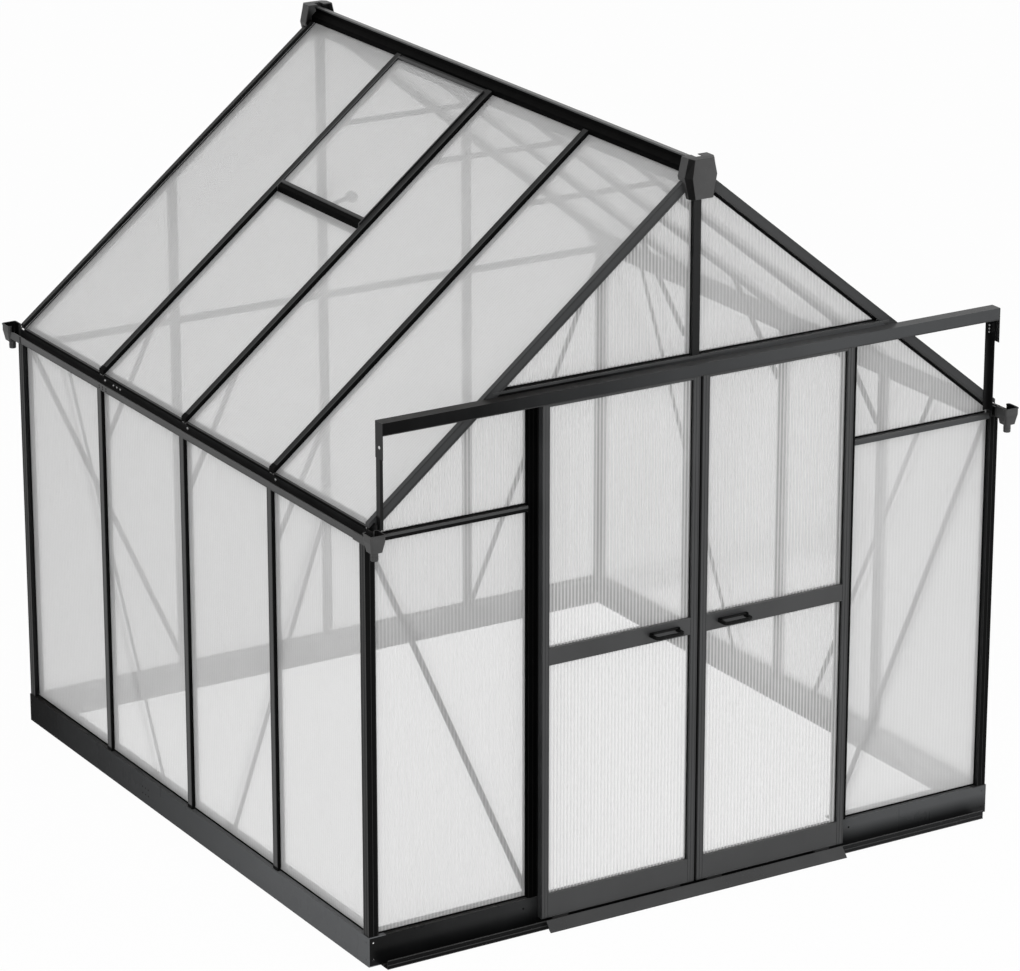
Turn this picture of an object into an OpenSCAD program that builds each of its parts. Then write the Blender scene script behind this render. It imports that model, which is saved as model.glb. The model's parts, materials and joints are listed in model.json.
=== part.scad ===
// Walk-in polycarbonate greenhouse with a pitched roof, a roof vent and a pair of
// sliding front doors that hang from one long rail.
// X runs along the front, Y runs back from it, Z is up. The origin is on the ground in the middle.

/* [Base frame] */
// Outer width of the base frame
base_w = 2500; // [2200:10:3000]
// Outer depth of the base frame
base_d = 2534; // [2200:2:3600]
// Height of the base frame
base_h = 104; // [80:1:140]
// Metal thickness of the base channel
base_t = 3; // [2:0.5:5]
// Width of the base channel's top flange
base_top_flange = 64; // [50:1:80]
// Width of the base channel's foot flange
base_foot_flange = 40; // [25:1:50]
// Radius of the corner holes in the base
base_hole_r = 3; // [2:0.5:5]
// Distance of the corner holes from the corner
base_hole_inset = 18; // [12:1:30]
// Height of the lower corner hole
base_hole_low = 22; // [15:1:35]
// Height of the upper corner hole
base_hole_high = 83; // [55:1:90]

/* [Wall frame] */
// Height of the wall posts' tops above the ground
eave_h = 1476; // [1300:1:1700]
// Set-back of the wall frame from the face of the base
frame_inset = 3; // [0:0.5:8]
// Width of a corner post along either wall
post_w = 36; // [32:1:50]
// Set-back of the glazing bars behind the faces of the posts
bar_inset = 3; // [0:0.5:6]
// Width of a glazing bar's outer cap
bar_cap_w = 30; // [22:1:36]
// Thickness of a glazing bar's outer cap
bar_cap_t = 12; // [8:1:16]
// Width of the web between two sheets
bar_web_w = 8; // [5:1:12]
// Width of a glazing bar's inner leg
bar_leg_w = 20; // [14:1:22]
// Depth of a glazing bar's inner leg
bar_leg_t = 15; // [12:1:24]
// Thickness of a polycarbonate sheet
sheet_t = 6; // [4:0.5:10]
// Play between a sheet and the bar beside it
sheet_play = 0.5; // [0.2:0.1:1]
// Depth of a sheet's edge inside a post or jamb
sheet_bite = 8; // [5:1:12]
// Number of bays along a side wall
side_bays = 4; // [3:1:6]
// Distance of the rear studs and door jambs from the middle of the building
bay_x = 622; // [560:1:700]
// Width of a flat bracing strip
strip_w = 20; // [14:1:30]
// Thickness of a flat bracing strip
strip_t = 3; // [2:0.5:5]

/* [Front and rear rails] */
// Height of the short eave rails beside the doors
eave_rail_h = 20; // [14:1:30]
// Top of the short eave rails, above the posts' tops
eave_rail_rise = 10; // [4:1:20]
// Height of the rear eave rail
rear_rail_h = 25; // [16:1:40]
// Thickness of the rear eave rail
rear_rail_t = 12; // [6:1:20]
// Height of the sill bar under the front gable
sill_h = 30; // [20:1:45]
// Depth of the sill bar under the front gable
sill_d = 42; // [36:1:60]
// Width of the post in the middle of the front gable
gable_post_w = 28; // [20:1:40]
// Width of a door jamb
jamb_w = 36; // [30:1:50]

/* [Roof] */
// Pitch of the roof in degrees
pitch = 39; // [32:0.5:45]
// Depth of the gable rafter's top face in front of the roof sheets
gable_ledge = 20; // [14:1:26]
// Half the thickness of the ridge beam's web
ridge_web = 4; // [3:0.5:8]
// Half the width of the ridge beam's flange
ridge_half_w = 35; // [28:1:50]
// Depth of the ridge beam's web below the roof's peak
ridge_drop = 43; // [30:1:60]
// Height of the ridge fin above the roof's peak
ridge_fin = 62; // [50:1:80]
// Half the width of a ridge end cap at its top
cap_top_half = 49; // [44:1:56]
// Half the width of a ridge end cap at its waist
cap_waist_half = 64; // [58:1:72]
// Half the width of a ridge end cap at its bottom
cap_bottom_half = 46; // [42:1:54]
// Height of a ridge end cap above the ridge fin
cap_rise = 13; // [6:1:20]
// Height of a ridge end cap's waist above the roof's peak
cap_waist_rise = 11; // [6:1:20]
// Depth of a ridge end cap below the ridge beam
cap_drop = 20; // [14:1:26]
// Wall thickness of a ridge end cap
cap_wall = 3; // [2:0.5:4]
// Reach of a ridge end cap in front of the base's face
cap_front = 35; // [28:1:45]
// Length of a ridge end cap's slanting sides
cap_chamfer = 23; // [14:1:30]
// Reach of a ridge end cap back over the rafters
cap_hood = 25; // [18:1:35]
// Height of the collar ties above the eave
collar_rise = 807; // [700:1:900]
// Length of a knee brace's foot below the eave
knee_drop = 214; // [150:1:300]
// Distance of a knee brace's head from the middle of the building
knee_head_x = 1010; // [900:1:1080]

/* [Gutters] */
// Width of a gutter's open channel
gutter_w = 30; // [24:1:50]
// Height of a gutter's outer wall
gutter_h = 31; // [24:1:45]
// Metal thickness of a gutter
gutter_t = 3; // [2:0.5:4]
// Length of a gutter beyond the base's face
gutter_over = 10; // [4:1:16]
// Depth of the gutter's skirt below the eave
skirt_h = 26; // [15:1:40]
// Reach of an outlet's neck back along the gutter
neck_back = 50; // [35:1:70]
// Outer width of a gutter outlet's box
outlet_w = 58; // [50:1:70]
// Wall thickness of a gutter outlet
outlet_t = 3; // [2:0.5:4]
// Height of an outlet box's top above the gutter's outer wall
outlet_rise = 13; // [6:1:20]
// Height above the eave at which an outlet box starts to taper
outlet_taper_z = 19; // [10:1:28]
// Depth of an outlet box below the eave
outlet_drop = 17; // [10:1:24]
// Width of an outlet box at its foot
outlet_foot_w = 42; // [34:1:50]
// Distance of an outlet's spout from the base's face
outlet_reach = 53; // [50:1:70]
// Outer radius of an outlet's spout
spout_r = 12.5; // [10:0.5:16]
// Length of an outlet's spout
spout_l = 30; // [20:1:50]

/* [Roof vent] */
// Distance of the vent's lower edge from the middle of the building
vent_foot_x = 534; // [450:2:700]
// Width of the vent's frame bars
vent_bar_w = 22; // [16:1:32]
// Thickness of the vent's frame
vent_t = 16; // [12:1:24]
// Gap between the vent's frame and the rafters beside it
vent_gap = 3; // [2:0.5:6]
// Width of the bar under the vent's lower edge
sill_bar_w = 24; // [18:1:32]
// Width and depth of the line pressed into the vent's lower bar
vent_line = 2; // [1:0.5:4]
// Length of the vent's stay
stay_l = 112; // [80:2:160]
// Width of the vent's stay
stay_w = 18; // [12:1:24]
// Thickness of the vent's stay
stay_t = 9; // [6:1:12]
// Radius of the stay's knob
knob_r = 20; // [14:1:24]
// Length of the stay's knob
knob_l = 30; // [20:1:40]

/* [Sliding doors] */
// Top of the door rail above the ground
rail_top = 1874; // [1760:1:2000]
// Height of the door rail
rail_h = 42; // [34:1:55]
// Distance of the door rail's front from the base's face
rail_front = 43; // [40:1:60]
// Metal thickness of the rail and the bottom track
rail_t = 2; // [1.5:0.5:3]
// Distance of the door rail's ends from the base's sides
rail_inset = 44.5; // [40:0.5:60]
// Overlap of a closed leaf over the door jamb
leaf_overlap = 6; // [4:1:20]
// Thickness of a door leaf
leaf_t = 25; // [20:1:30]
// Half the gap between the closed leaves
leaf_gap = 5; // [5:0.5:10]
// Distance of a leaf's face from the base's face
leaf_front = 36; // [30:1:50]
// Height of a leaf's lower edge above the ground
leaf_foot = 36; // [30:1:60]
// Distance of a leaf's top below the rail's top
leaf_top_drop = 16; // [12:1:24]
// Width of a leaf's stiles
stile_w = 27; // [20:1:40]
// Height of a leaf's top rail
leaf_top_h = 36; // [30:1:60]
// Height of a leaf's middle rail
leaf_mid_h = 60; // [40:1:90]
// Height of the middle rail's lower edge above the ground
leaf_mid_z = 934; // [800:1:1100]
// Height of a leaf's bottom rail
leaf_bottom_h = 86; // [60:1:120]
// Depth of the groove that holds a door sheet
leaf_groove = 6; // [4:1:12]
// Height of the bottom track's front wall
track_h = 31; // [20:1:40]
// Distance of the bottom track's front from the base's face
track_front = 46; // [44:1:70]
// Distance of the ramp's ends from the outer edges of the closed leaves
ramp_inset = 10; // [4:1:40]
// Distance of the ramp's foot from the base's face
ramp_reach = 80; // [60:1:110]

/* [Door fittings] */
// Length of a bow handle
handle_l = 118; // [90:1:160]
// Reach of a bow handle from the leaf
handle_reach = 45; // [30:1:60]
// Height of a bow handle's bar
handle_h = 16; // [10:1:24]
// Thickness of a bow handle's bar
handle_t = 14; // [8:1:18]
// Distance of a handle's middle from the closed leaves' gap
handle_x = 136; // [90:1:200]
// Radius of a hanging roller
roller_r = 9; // [6:0.5:11]
// Thickness of a hanging roller
roller_t = 4; // [3:0.5:6]
// Distance of the rollers and guides from a leaf's edges
roller_x = 80; // [50:1:150]
// Height of the tongues that guide a leaf's foot
guide_h = 28; // [15:1:30]
// Length of a guide tongue
guide_l = 60; // [40:1:90]
// Thickness of a guide tongue
guide_t = 10; // [6:1:14]

/* [Hidden] */

frame_color = "#303234";
sheet_color = [0.86, 0.88, 0.89, 0.5];
plastic_color = "#26282a";
$fn = 48;
eps = 0.01;

// Wall planes, as distances from the middle of the building
half_w = base_w / 2;
half_d = base_d / 2;
face_x = half_w - frame_inset;
face_y = half_d - frame_inset;
sheet_depth = bar_inset + bar_cap_t;
frame_d = sheet_depth + sheet_t + bar_leg_t;
inner_x = face_x - frame_d;
inner_y = face_y - frame_d;
bay_d = 2 * (face_y - post_w + bar_cap_w / 2) / side_bays;
stud_ys = [for (i = [1 : side_bays - 1]) (i - side_bays / 2) * bay_d];

// The roof: a height at distance s from the middle and p square to the slope
p_leg = bar_leg_t;
p_sheet = p_leg + sheet_t;
p_cap = p_sheet + bar_cap_t;
ridge_flange_t = 4;
// Play between slanting faces that rest on each other
slope_play = 0.15;
p_flange = p_cap + ridge_flange_t;
function roof_z(s, p = 0) = eave_h + (half_w - s) * tan(pitch) + p / cos(pitch);
function roof_x(z, p = 0) = half_w - (z - p / cos(pitch) - eave_h) / tan(pitch);
function slope_x(z) = roof_x(z, -slope_play);
peak_z = roof_z(0);
ridge_bottom = peak_z - ridge_drop;
fin_top = peak_z + ridge_fin;

// Gutter walls, as distances from the middle of the building
gutter_rib = inner_x - gutter_t;
gutter_back = face_x - sheet_depth - sheet_t;
gutter_front = gutter_back + gutter_t + gutter_w;
gutter_out = gutter_front + gutter_t;
gutter_lip = eave_h + gutter_h + 2;
sheet_foot = gutter_back + gutter_t + 1;
cap_foot = sheet_foot + 2;

// Front rails
eave_rail_top = eave_h + eave_rail_rise;
sill_top = rail_top + 16;
sill_bottom = sill_top - sill_h;
jamb_in = bay_x - jamb_w / 2;
jamb_out = bay_x + jamb_w / 2;
rail_half = half_w - rail_inset;

// The right leaf's sides and heights, closed
leaf_x0 = leaf_gap;
leaf_x1 = jamb_in + leaf_overlap;
ramp_half = leaf_x1 - ramp_inset;
leaf_top = rail_top - leaf_top_drop;
leaf_back = leaf_front - leaf_t;
leaf_sheet_y = leaf_front - leaf_t / 2;
shelf_z = rail_top - rail_h + 6;
shelf_t = 3;
shelf_d = 5;
roller_play = 0.3;
roller_z = shelf_z + shelf_t + roller_play + roller_r;

// ---- helpers ----

// A box given by its two corners
module block(a, b) {
    translate(a) cube(b - a);
}

// A flat outline in X and Z, given thickness from y0 to y1
module slab_xz(points, y0, y1) {
    translate([0, y1, 0]) rotate([90, 0, 0]) linear_extrude(y1 - y0) polygon(points);
}

// A flat outline in Y and Z, given thickness from x0 to x1
module slab_yz(points, x0, x1) {
    translate([x0, 0, 0]) rotate([90, 0, 90]) linear_extrude(x1 - x0) polygon(points);
}

// One copy on each side of the building's middle plane
module both_sides() {
    children();
    mirror([1, 0, 0]) children();
}

// One copy at the front and one at the rear
module both_ends() {
    children();
    mirror([0, 1, 0]) children();
}

// A layer of the right roof slope between two distances from the middle, cut upright at both ends
module slope_layer(p0, p1, s0, s1, y0, y1) {
    slab_xz([[s0, roof_z(s0, p0)], [s1, roof_z(s1, p0)],
             [s1, roof_z(s1, p1)], [s0, roof_z(s0, p1)]], y0, y1);
}

// A slanting strip between two points, with level ends
function strip_points(h0, z0, h1, z1, w) =
    let (run = h1 - h0, rise = z1 - z0, a = w / 2 * norm([run, rise]) / abs(rise))
    [[h0 - a, z0], [h0 + a, z0], [h1 + a, z1], [h1 - a, z1]];

// ---- base frame ----

module corner_hole_x(y) {
    for (z = [base_hole_low, base_hole_high])
        translate([half_w - base_t - 1, y, z]) rotate([0, 90, 0]) cylinder(h = base_t + 2, r = base_hole_r);
}

module corner_hole_y(x) {
    for (z = [base_hole_low, base_hole_high])
        translate([x, half_d + 1, z]) rotate([90, 0, 0]) cylinder(h = base_t + 2, r = base_hole_r);
}

module base_right() color(frame_color) {
    difference() {
        slab_xz([[half_w, 0], [half_w, base_h], [half_w - base_top_flange, base_h],
                 [half_w - base_top_flange, base_h - base_t], [half_w - base_t, base_h - base_t],
                 [half_w - base_t, base_t], [half_w - base_foot_flange, base_t],
                 [half_w - base_foot_flange, 0]], -half_d, half_d);
        corner_hole_x(half_d - base_hole_inset);
        corner_hole_x(base_hole_inset - half_d);
    }
}

module base_left() mirror([1, 0, 0]) base_right();

module base_rear() color(frame_color) {
    difference() {
        union() {
            block([base_t - half_w, half_d - base_t, 0], [half_w - base_t, half_d, base_h]);
            block([base_top_flange - half_w, half_d - base_top_flange, base_h - base_t],
                  [half_w - base_top_flange, half_d, base_h]);
            block([base_foot_flange - half_w, half_d - base_foot_flange, 0],
                  [half_w - base_foot_flange, half_d, base_t]);
        }
        // the side channels' flanges pass here
        both_sides() block([half_w - base_top_flange, half_d - base_top_flange - 1, base_h - base_t],
                           [half_w, half_d + 1, base_h + 1]);
        both_sides() block([half_w - base_foot_flange, half_d - base_foot_flange - 1, -1],
                           [half_w, half_d + 1, base_t]);
        corner_hole_y(half_w - base_hole_inset);
        corner_hole_y(base_hole_inset - half_w);
    }
}

module base_front() mirror([0, 1, 0]) base_rear();

// ---- wall frame ----

module corner_post() {
    groove = sheet_bite;
    difference() {
        block([face_x - post_w, face_y - post_w, base_h], [face_x, face_y, eave_h]);
        block([face_x - sheet_depth - sheet_t, face_y - post_w - 1, base_h - 1],
              [face_x - sheet_depth, face_y - post_w + groove, eave_h + 1]);
        block([face_x - post_w - 1, face_y - sheet_depth - sheet_t, base_h - 1],
              [face_x - post_w + groove, face_y - sheet_depth, eave_h + 1]);
    }
}

module corner_posts() color(frame_color) both_ends() both_sides() corner_post();

// A wall stud with its middle at y on the right wall
module side_stud(y) {
    block([face_x - sheet_depth, y - bar_cap_w / 2, base_h],
          [face_x - bar_inset, y + bar_cap_w / 2, eave_h]);
    block([face_x - sheet_depth - sheet_t - eps, y - bar_web_w / 2, base_h],
          [face_x - sheet_depth + eps, y + bar_web_w / 2, eave_h]);
    block([inner_x, y - bar_leg_w / 2, base_h],
          [face_x - sheet_depth - sheet_t, y + bar_leg_w / 2, eave_h]);
}

module side_wall_studs() color(frame_color)
    both_sides() for (y = stud_ys) side_stud(y);

// The part of a rear stud between two depths, cut to the roof slope at its top
module rear_stud_layer(x, w, d0, d1, top = 0) {
    x0 = x - w / 2;
    x1 = x + w / 2;
    z0 = top > 0 ? top : roof_z(abs(x0), -slope_play);
    z1 = top > 0 ? top : roof_z(abs(x1), -slope_play);
    slab_xz([[x0, base_h], [x1, base_h], [x1, z1], [x0, z0]], face_y - d1, face_y - d0);
}

module rear_stud(x, top = 0) {
    rear_stud_layer(x, bar_cap_w, bar_inset, sheet_depth, top);
    rear_stud_layer(x, bar_web_w, sheet_depth - eps, sheet_depth + sheet_t + eps, top);
    rear_stud_layer(x, bar_leg_w, sheet_depth + sheet_t, frame_d, top);
}

module rear_studs() color(frame_color) {
    both_sides() rear_stud(bay_x);
    rear_stud(0, ridge_bottom);
}

module door_jambs() color(frame_color) both_sides() difference() {
    block([jamb_in, -face_y, base_h], [jamb_out, frame_d - face_y, sill_bottom]);
    block([jamb_out - sheet_bite, sheet_depth - face_y, base_h - 1],
          [jamb_out + 1, sheet_depth + sheet_t - face_y, sill_bottom + 1]);
}

module front_gable_post() color(frame_color) {
    w = gable_post_w / 2;
    block([-w, -face_y, sill_top], [w, sheet_depth - face_y, ridge_bottom]);
    block([-bar_web_w / 2, sheet_depth - face_y - eps, sill_top],
          [bar_web_w / 2, sheet_depth + sheet_t - face_y + eps, ridge_bottom]);
    block([-bar_leg_w / 2, sheet_depth + sheet_t - face_y, sill_top],
          [bar_leg_w / 2, frame_d - face_y, ridge_bottom]);
}

module front_gable_sill() color(frame_color)
    slab_xz([[-slope_x(sill_bottom), sill_bottom], [slope_x(sill_bottom), sill_bottom],
             [slope_x(sill_top), sill_top], [-slope_x(sill_top), sill_top]],
            -face_y, sill_d - face_y);

module front_eave_rails() color(frame_color) both_sides() {
    block([jamb_out, -face_y, eave_rail_top - eave_rail_h], [face_x - post_w, frame_d - face_y, eave_h]);
    block([jamb_out, -face_y, eave_h - eps], [gutter_rib, frame_d - face_y, eave_rail_top]);
}

rear_rail_top = eave_h - strip_t;
rear_rail_half = face_x - sheet_depth - sheet_t - 1;
module rear_eave_rail() color(frame_color)
    block([-rear_rail_half, inner_y - rear_rail_t, rear_rail_top - rear_rail_h],
          [rear_rail_half, inner_y, rear_rail_top]);

// ---- braces ----

side_brace_head = 0.54;
side_brace_foot = 1.62;
end_brace_head_z = rear_rail_top - rear_rail_h - strip_t;
end_brace_head_x = inner_x + strip_t;

module side_brace() {
    slab_yz(strip_points(half_d - side_brace_foot * bay_d, base_h,
                         half_d - side_brace_head * bay_d, eave_h - skirt_h, strip_w),
            inner_x - strip_t, inner_x);
}

module end_brace() {
    slab_xz(strip_points(bay_x, base_h, end_brace_head_x, end_brace_head_z, strip_w),
            inner_y - strip_t, inner_y);
}

module wall_braces() color(frame_color) both_ends() both_sides() {
    side_brace();
    end_brace();
}

knee_foot_x = inner_x + strip_t;
module knee_brace(y) {
    slab_xz(strip_points(knee_foot_x, eave_h - knee_drop,
                         knee_head_x, roof_z(knee_head_x, p_leg / 2), strip_w),
            y + bar_leg_w / 2, y + bar_leg_w / 2 + strip_t);
}

module knee_braces() color(frame_color) both_sides() for (y = stud_ys) knee_brace(y);

collar_z = eave_h + collar_rise;
collar_half = roof_x(collar_z) + strip_w / 2;
module collar_ties() color(frame_color) for (y = stud_ys)
    block([-collar_half, y + bar_leg_w / 2, collar_z - strip_w / 2],
          [collar_half, y + bar_leg_w / 2 + strip_t, collar_z + strip_w / 2]);

// ---- roof frame ----

module roof_rafter(y) {
    slope_layer(0, p_leg, ridge_web, gutter_rib, y - bar_leg_w / 2, y + bar_leg_w / 2);
    slope_layer(p_leg - eps, p_sheet + eps, ridge_web, gutter_rib, y - bar_web_w / 2, y + bar_web_w / 2);
    slope_layer(p_sheet, p_cap, ridge_half_w, cap_foot, y - bar_cap_w / 2, y + bar_cap_w / 2);
}

module roof_rafters() color(frame_color) both_sides() for (y = stud_ys) roof_rafter(y);

module gable_rafter() {
    slope_layer(0, p_leg, ridge_web, gutter_rib, inner_y, face_y);
    slope_layer(p_leg - eps, p_sheet + eps, ridge_web, gutter_rib, face_y - gable_ledge + 3, face_y);
    slope_layer(p_sheet, p_cap, ridge_half_w, cap_foot, face_y - gable_ledge, face_y);
}

module gable_rafters() color(frame_color) both_ends() both_sides() gable_rafter();

lip_t = 3;
fin_half = 5;
fin_head_half = 9;
fin_head_h = 6;
ridge_half = [[0, ridge_bottom], [ridge_web, ridge_bottom], [ridge_web, roof_z(ridge_web, p_cap)],
              [ridge_half_w - lip_t, roof_z(ridge_half_w - lip_t, p_cap)],
              [ridge_half_w - lip_t, roof_z(ridge_half_w - lip_t, p_sheet + 1)],
              [ridge_half_w, roof_z(ridge_half_w, p_sheet + 1)],
              [ridge_half_w, roof_z(ridge_half_w, p_flange)],
              [fin_half, roof_z(fin_half, p_flange)],
              [fin_half, fin_top - fin_head_h], [fin_head_half, fin_top - fin_head_h],
              [fin_head_half, fin_top], [0, fin_top]];

module ridge_beam() color(frame_color) {
    mirrored = [for (i = [len(ridge_half) - 2 : -1 : 1]) [-ridge_half[i][0], ridge_half[i][1]]];
    slab_xz(concat(ridge_half, mirrored), -face_y, face_y);
}

// Outline of a ridge end cap, drawn in by t on every side
cap_top = fin_top + cap_rise;
cap_waist = peak_z + cap_waist_rise;
cap_bottom = ridge_bottom - cap_drop;
function cap_outline(t) =
    [[t - cap_top_half, cap_top - t], [cap_top_half - t, cap_top - t], [cap_waist_half - t, cap_waist],
     [cap_bottom_half - t, cap_bottom + t], [t - cap_bottom_half, cap_bottom + t],
     [t - cap_waist_half, cap_waist]];

module ridge_cap() {
    w = cap_waist_half;
    intersection() {
        difference() {
            slab_xz(cap_outline(0), face_y + 0.5, half_d + cap_front);
            slab_xz(cap_outline(cap_wall), face_y - 1, half_d + cap_front - cap_wall);
        }
        linear_extrude(cap_top + 1)
            polygon([[-w, 0], [-w, half_d + cap_front - cap_chamfer], [cap_chamfer - w, half_d + cap_front],
                     [w - cap_chamfer, half_d + cap_front], [w, half_d + cap_front - cap_chamfer], [w, 0]]);
    }
    // the hood that reaches back over the rafters
    difference() {
        slab_xz(cap_outline(0), face_y - cap_hood, face_y + 0.5 + eps);
        slab_xz(cap_outline(cap_wall), face_y - cap_hood - 1, face_y + 1);
        slab_xz([[-2 * w, 0], [2 * w, 0], [2 * w, roof_z(2 * w, p_flange + 0.5)],
                 [0, roof_z(0, p_flange + 0.5)], [-2 * w, roof_z(2 * w, p_flange + 0.5)]],
                face_y - cap_hood - 1, face_y + 0.5);
    }
}

module ridge_caps() color(plastic_color) both_ends() ridge_cap();

// ---- gutters ----

module right_gutter() color(frame_color) {
    half_l = half_d + gutter_over;
    block([gutter_rib, -half_l, eave_h], [gutter_out, half_l, eave_h + gutter_t]);
    block([gutter_front, -half_l, eave_h], [gutter_out, half_l, eave_h + gutter_h]);
    block([gutter_back, -half_l, eave_h], [gutter_back + gutter_t, half_l, gutter_lip]);
    slab_xz([[gutter_rib, eave_h], [inner_x, eave_h], [inner_x, roof_z(inner_x, p_leg)],
             [gutter_rib, roof_z(gutter_rib, p_leg)]], -half_l, half_l);
    block([gutter_rib, rear_rail_t - inner_y + 6, eave_h - skirt_h],
          [inner_x, inner_y - rear_rail_t - 6, eave_h + eps]);
}

module left_gutter() mirror([1, 0, 0]) right_gutter();

outlet_x = (gutter_back + gutter_t + gutter_front) / 2;
outlet_y = half_d + outlet_reach;
outlet_top = eave_h + gutter_h + outlet_rise;
outlet_mid = eave_h + outlet_taper_z;
outlet_bottom = eave_h - outlet_drop;

// The outlet's tapered box, drawn in by t on every side
module outlet_box(t, z_top, z_bottom) {
    h = outlet_w / 2 - t;
    f = outlet_foot_w / 2 - t;
    intersection() {
        slab_xz([[outlet_x - h, z_top], [outlet_x - h, outlet_mid], [outlet_x - f, z_bottom],
                 [outlet_x + f, z_bottom], [outlet_x + h, outlet_mid], [outlet_x + h, z_top]],
                outlet_y - outlet_w, outlet_y + outlet_w);
        slab_yz([[outlet_y - h, z_top], [outlet_y - h, outlet_mid], [outlet_y - f, z_bottom],
                 [outlet_y + f, z_bottom], [outlet_y + h, outlet_mid], [outlet_y + h, z_top]],
                outlet_x - outlet_w, outlet_x + outlet_w);
    }
}

sleeve_t = 2.5;
module outlet() {
    box_y = outlet_y - outlet_w / 2;
    sleeve_top = eave_h + gutter_h + 2;
    difference() {
        union() {
            outlet_box(0, outlet_top, outlet_bottom);
            translate([outlet_x, outlet_y, outlet_bottom - spout_l]) cylinder(h = spout_l + 2, r = spout_r);
            // the neck that takes the gutter's end
            block([gutter_out, half_d - neck_back, eave_h - sleeve_t],
                  [gutter_out + sleeve_t, box_y + 1, sleeve_top]);
            block([face_x + 1, half_d - neck_back, eave_h - sleeve_t], [gutter_out + eps, box_y + 1, eave_h]);
            block([gutter_back - sleeve_t, half_d, eave_h - sleeve_t], [gutter_out + eps, box_y + 1, eave_h]);
            block([gutter_back - sleeve_t, half_d + gutter_over, eave_h - sleeve_t],
                  [gutter_back, box_y + 1, sleeve_top]);
        }
        outlet_box(outlet_t, outlet_top + 1, outlet_bottom + outlet_t);
        block([gutter_back + gutter_t, box_y - 1, eave_h + gutter_t],
              [gutter_front, outlet_y, outlet_top + 1]);
        translate([outlet_x, outlet_y, outlet_bottom - spout_l - 1])
            cylinder(h = spout_l + 10, r = spout_r - sleeve_t);
    }
}

module right_gutter_outlets() color(plastic_color) both_ends() outlet();
module left_gutter_outlets() mirror([1, 0, 0]) right_gutter_outlets();

// ---- sheets ----

// Spans between neighbouring posts and studs on a side wall
post_edge = face_y - post_w + sheet_bite - sheet_play;
web_edge = bar_web_w / 2 + sheet_play;
side_spans = [for (i = [0 : side_bays - 1])
    [i == 0 ? -post_edge : stud_ys[i - 1] + web_edge,
     i == side_bays - 1 ? post_edge : stud_ys[i] - web_edge]];
roof_edge = face_y - gable_ledge + 3 - sheet_play;
roof_spans = [for (i = [0 : side_bays - 1])
    [i == 0 ? -roof_edge : stud_ys[i - 1] + web_edge,
     i == side_bays - 1 ? roof_edge : stud_ys[i] - web_edge]];
vent_bay = floor(side_bays / 2);

module right_wall_sheets() color(sheet_color) for (span = side_spans)
    block([face_x - sheet_depth - sheet_t, span[0], base_h], [face_x - sheet_depth, span[1], eave_h]);

module left_wall_sheets() mirror([1, 0, 0]) right_wall_sheets();

end_sheet_edge = face_x - post_w + sheet_bite - sheet_play;
rib_edge = gutter_rib - 1;
function sheet_top(s) = roof_z(s, -slope_play);

module rear_wall_sheets() color(sheet_color) both_sides() {
    y1 = face_y - sheet_depth;
    y0 = y1 - sheet_t;
    slab_xz([[bay_x + web_edge, base_h], [end_sheet_edge, base_h], [end_sheet_edge, eave_h - sheet_play],
             [rib_edge, eave_h - sheet_play], [rib_edge, sheet_top(rib_edge)],
             [bay_x + web_edge, sheet_top(bay_x + web_edge)]], y0, y1);
    slab_xz([[web_edge, base_h], [bay_x - web_edge, base_h], [bay_x - web_edge, sheet_top(bay_x - web_edge)],
             [web_edge, sheet_top(web_edge)]], y0, y1);
}

sheet_front_y = sheet_depth - face_y;
module front_wall_sheets() color(sheet_color) both_sides()
    block([jamb_out - sheet_bite + sheet_play, sheet_front_y, base_h],
          [end_sheet_edge, sheet_front_y + sheet_t, eave_rail_top - eave_rail_h]);

module front_gable_sheets() color(sheet_color) both_sides() {
    x0 = jamb_out - sheet_bite + sheet_play;
    slab_xz([[x0, eave_rail_top], [rib_edge, eave_rail_top], [rib_edge, sheet_top(rib_edge)],
             [slope_x(sill_bottom), sill_bottom], [x0, sill_bottom]],
            sheet_front_y, sheet_front_y + sheet_t);
    slab_xz([[web_edge, sill_top], [slope_x(sill_top), sill_top], [web_edge, sheet_top(web_edge)]],
            sheet_front_y, sheet_front_y + sheet_t);
}

module roof_sheet(span, s0) {
    slope_layer(p_leg + slope_play, p_sheet - slope_play, s0, sheet_foot, span[0], span[1]);
}

module right_roof_sheets() color(sheet_color) for (span = roof_spans) roof_sheet(span, ridge_web);

module left_roof_sheets() color(sheet_color) mirror([1, 0, 0])
    for (i = [0 : side_bays - 1])
        roof_sheet(roof_spans[i], i == vent_bay ? vent_foot_x + sheet_play : ridge_web);

// ---- roof vent, in the left slope ----

vent_y0 = stud_ys[vent_bay - 1] + bar_cap_w / 2 + vent_gap;
vent_y1 = stud_ys[vent_bay] - bar_cap_w / 2 - vent_gap;
vent_head = ridge_half_w + 2;
vent_p0 = p_sheet + 1;
vent_p1 = vent_p0 + vent_t;
vent_sheet_p = vent_p0 + (vent_t - sheet_t) / 2;
stay_rise = 0.2;

module vent_opening(p0, p1, inset) {
    slope_layer(p0, p1, vent_head + inset, vent_foot_x - inset, vent_y0 + inset, vent_y1 - inset);
}

module roof_vent_frame() color(frame_color) mirror([1, 0, 0]) difference() {
    vent_opening(vent_p0, vent_p1, 0);
    vent_opening(vent_p0 - 1, vent_p1 + 1, vent_bar_w);
    vent_opening(vent_sheet_p - slope_play, vent_sheet_p + sheet_t + slope_play, vent_bar_w - leaf_groove);
    // the groove along the lower bar
    slope_layer(vent_p1 - vent_line, vent_p1 + 1, vent_foot_x - vent_bar_w / 2 - vent_line,
                vent_foot_x - vent_bar_w / 2, vent_y0 + 1, vent_y1 - 1);
}

module roof_vent_sheet() color(sheet_color) mirror([1, 0, 0])
    vent_opening(vent_sheet_p, vent_sheet_p + sheet_t, vent_bar_w - leaf_groove + sheet_play);

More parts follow.
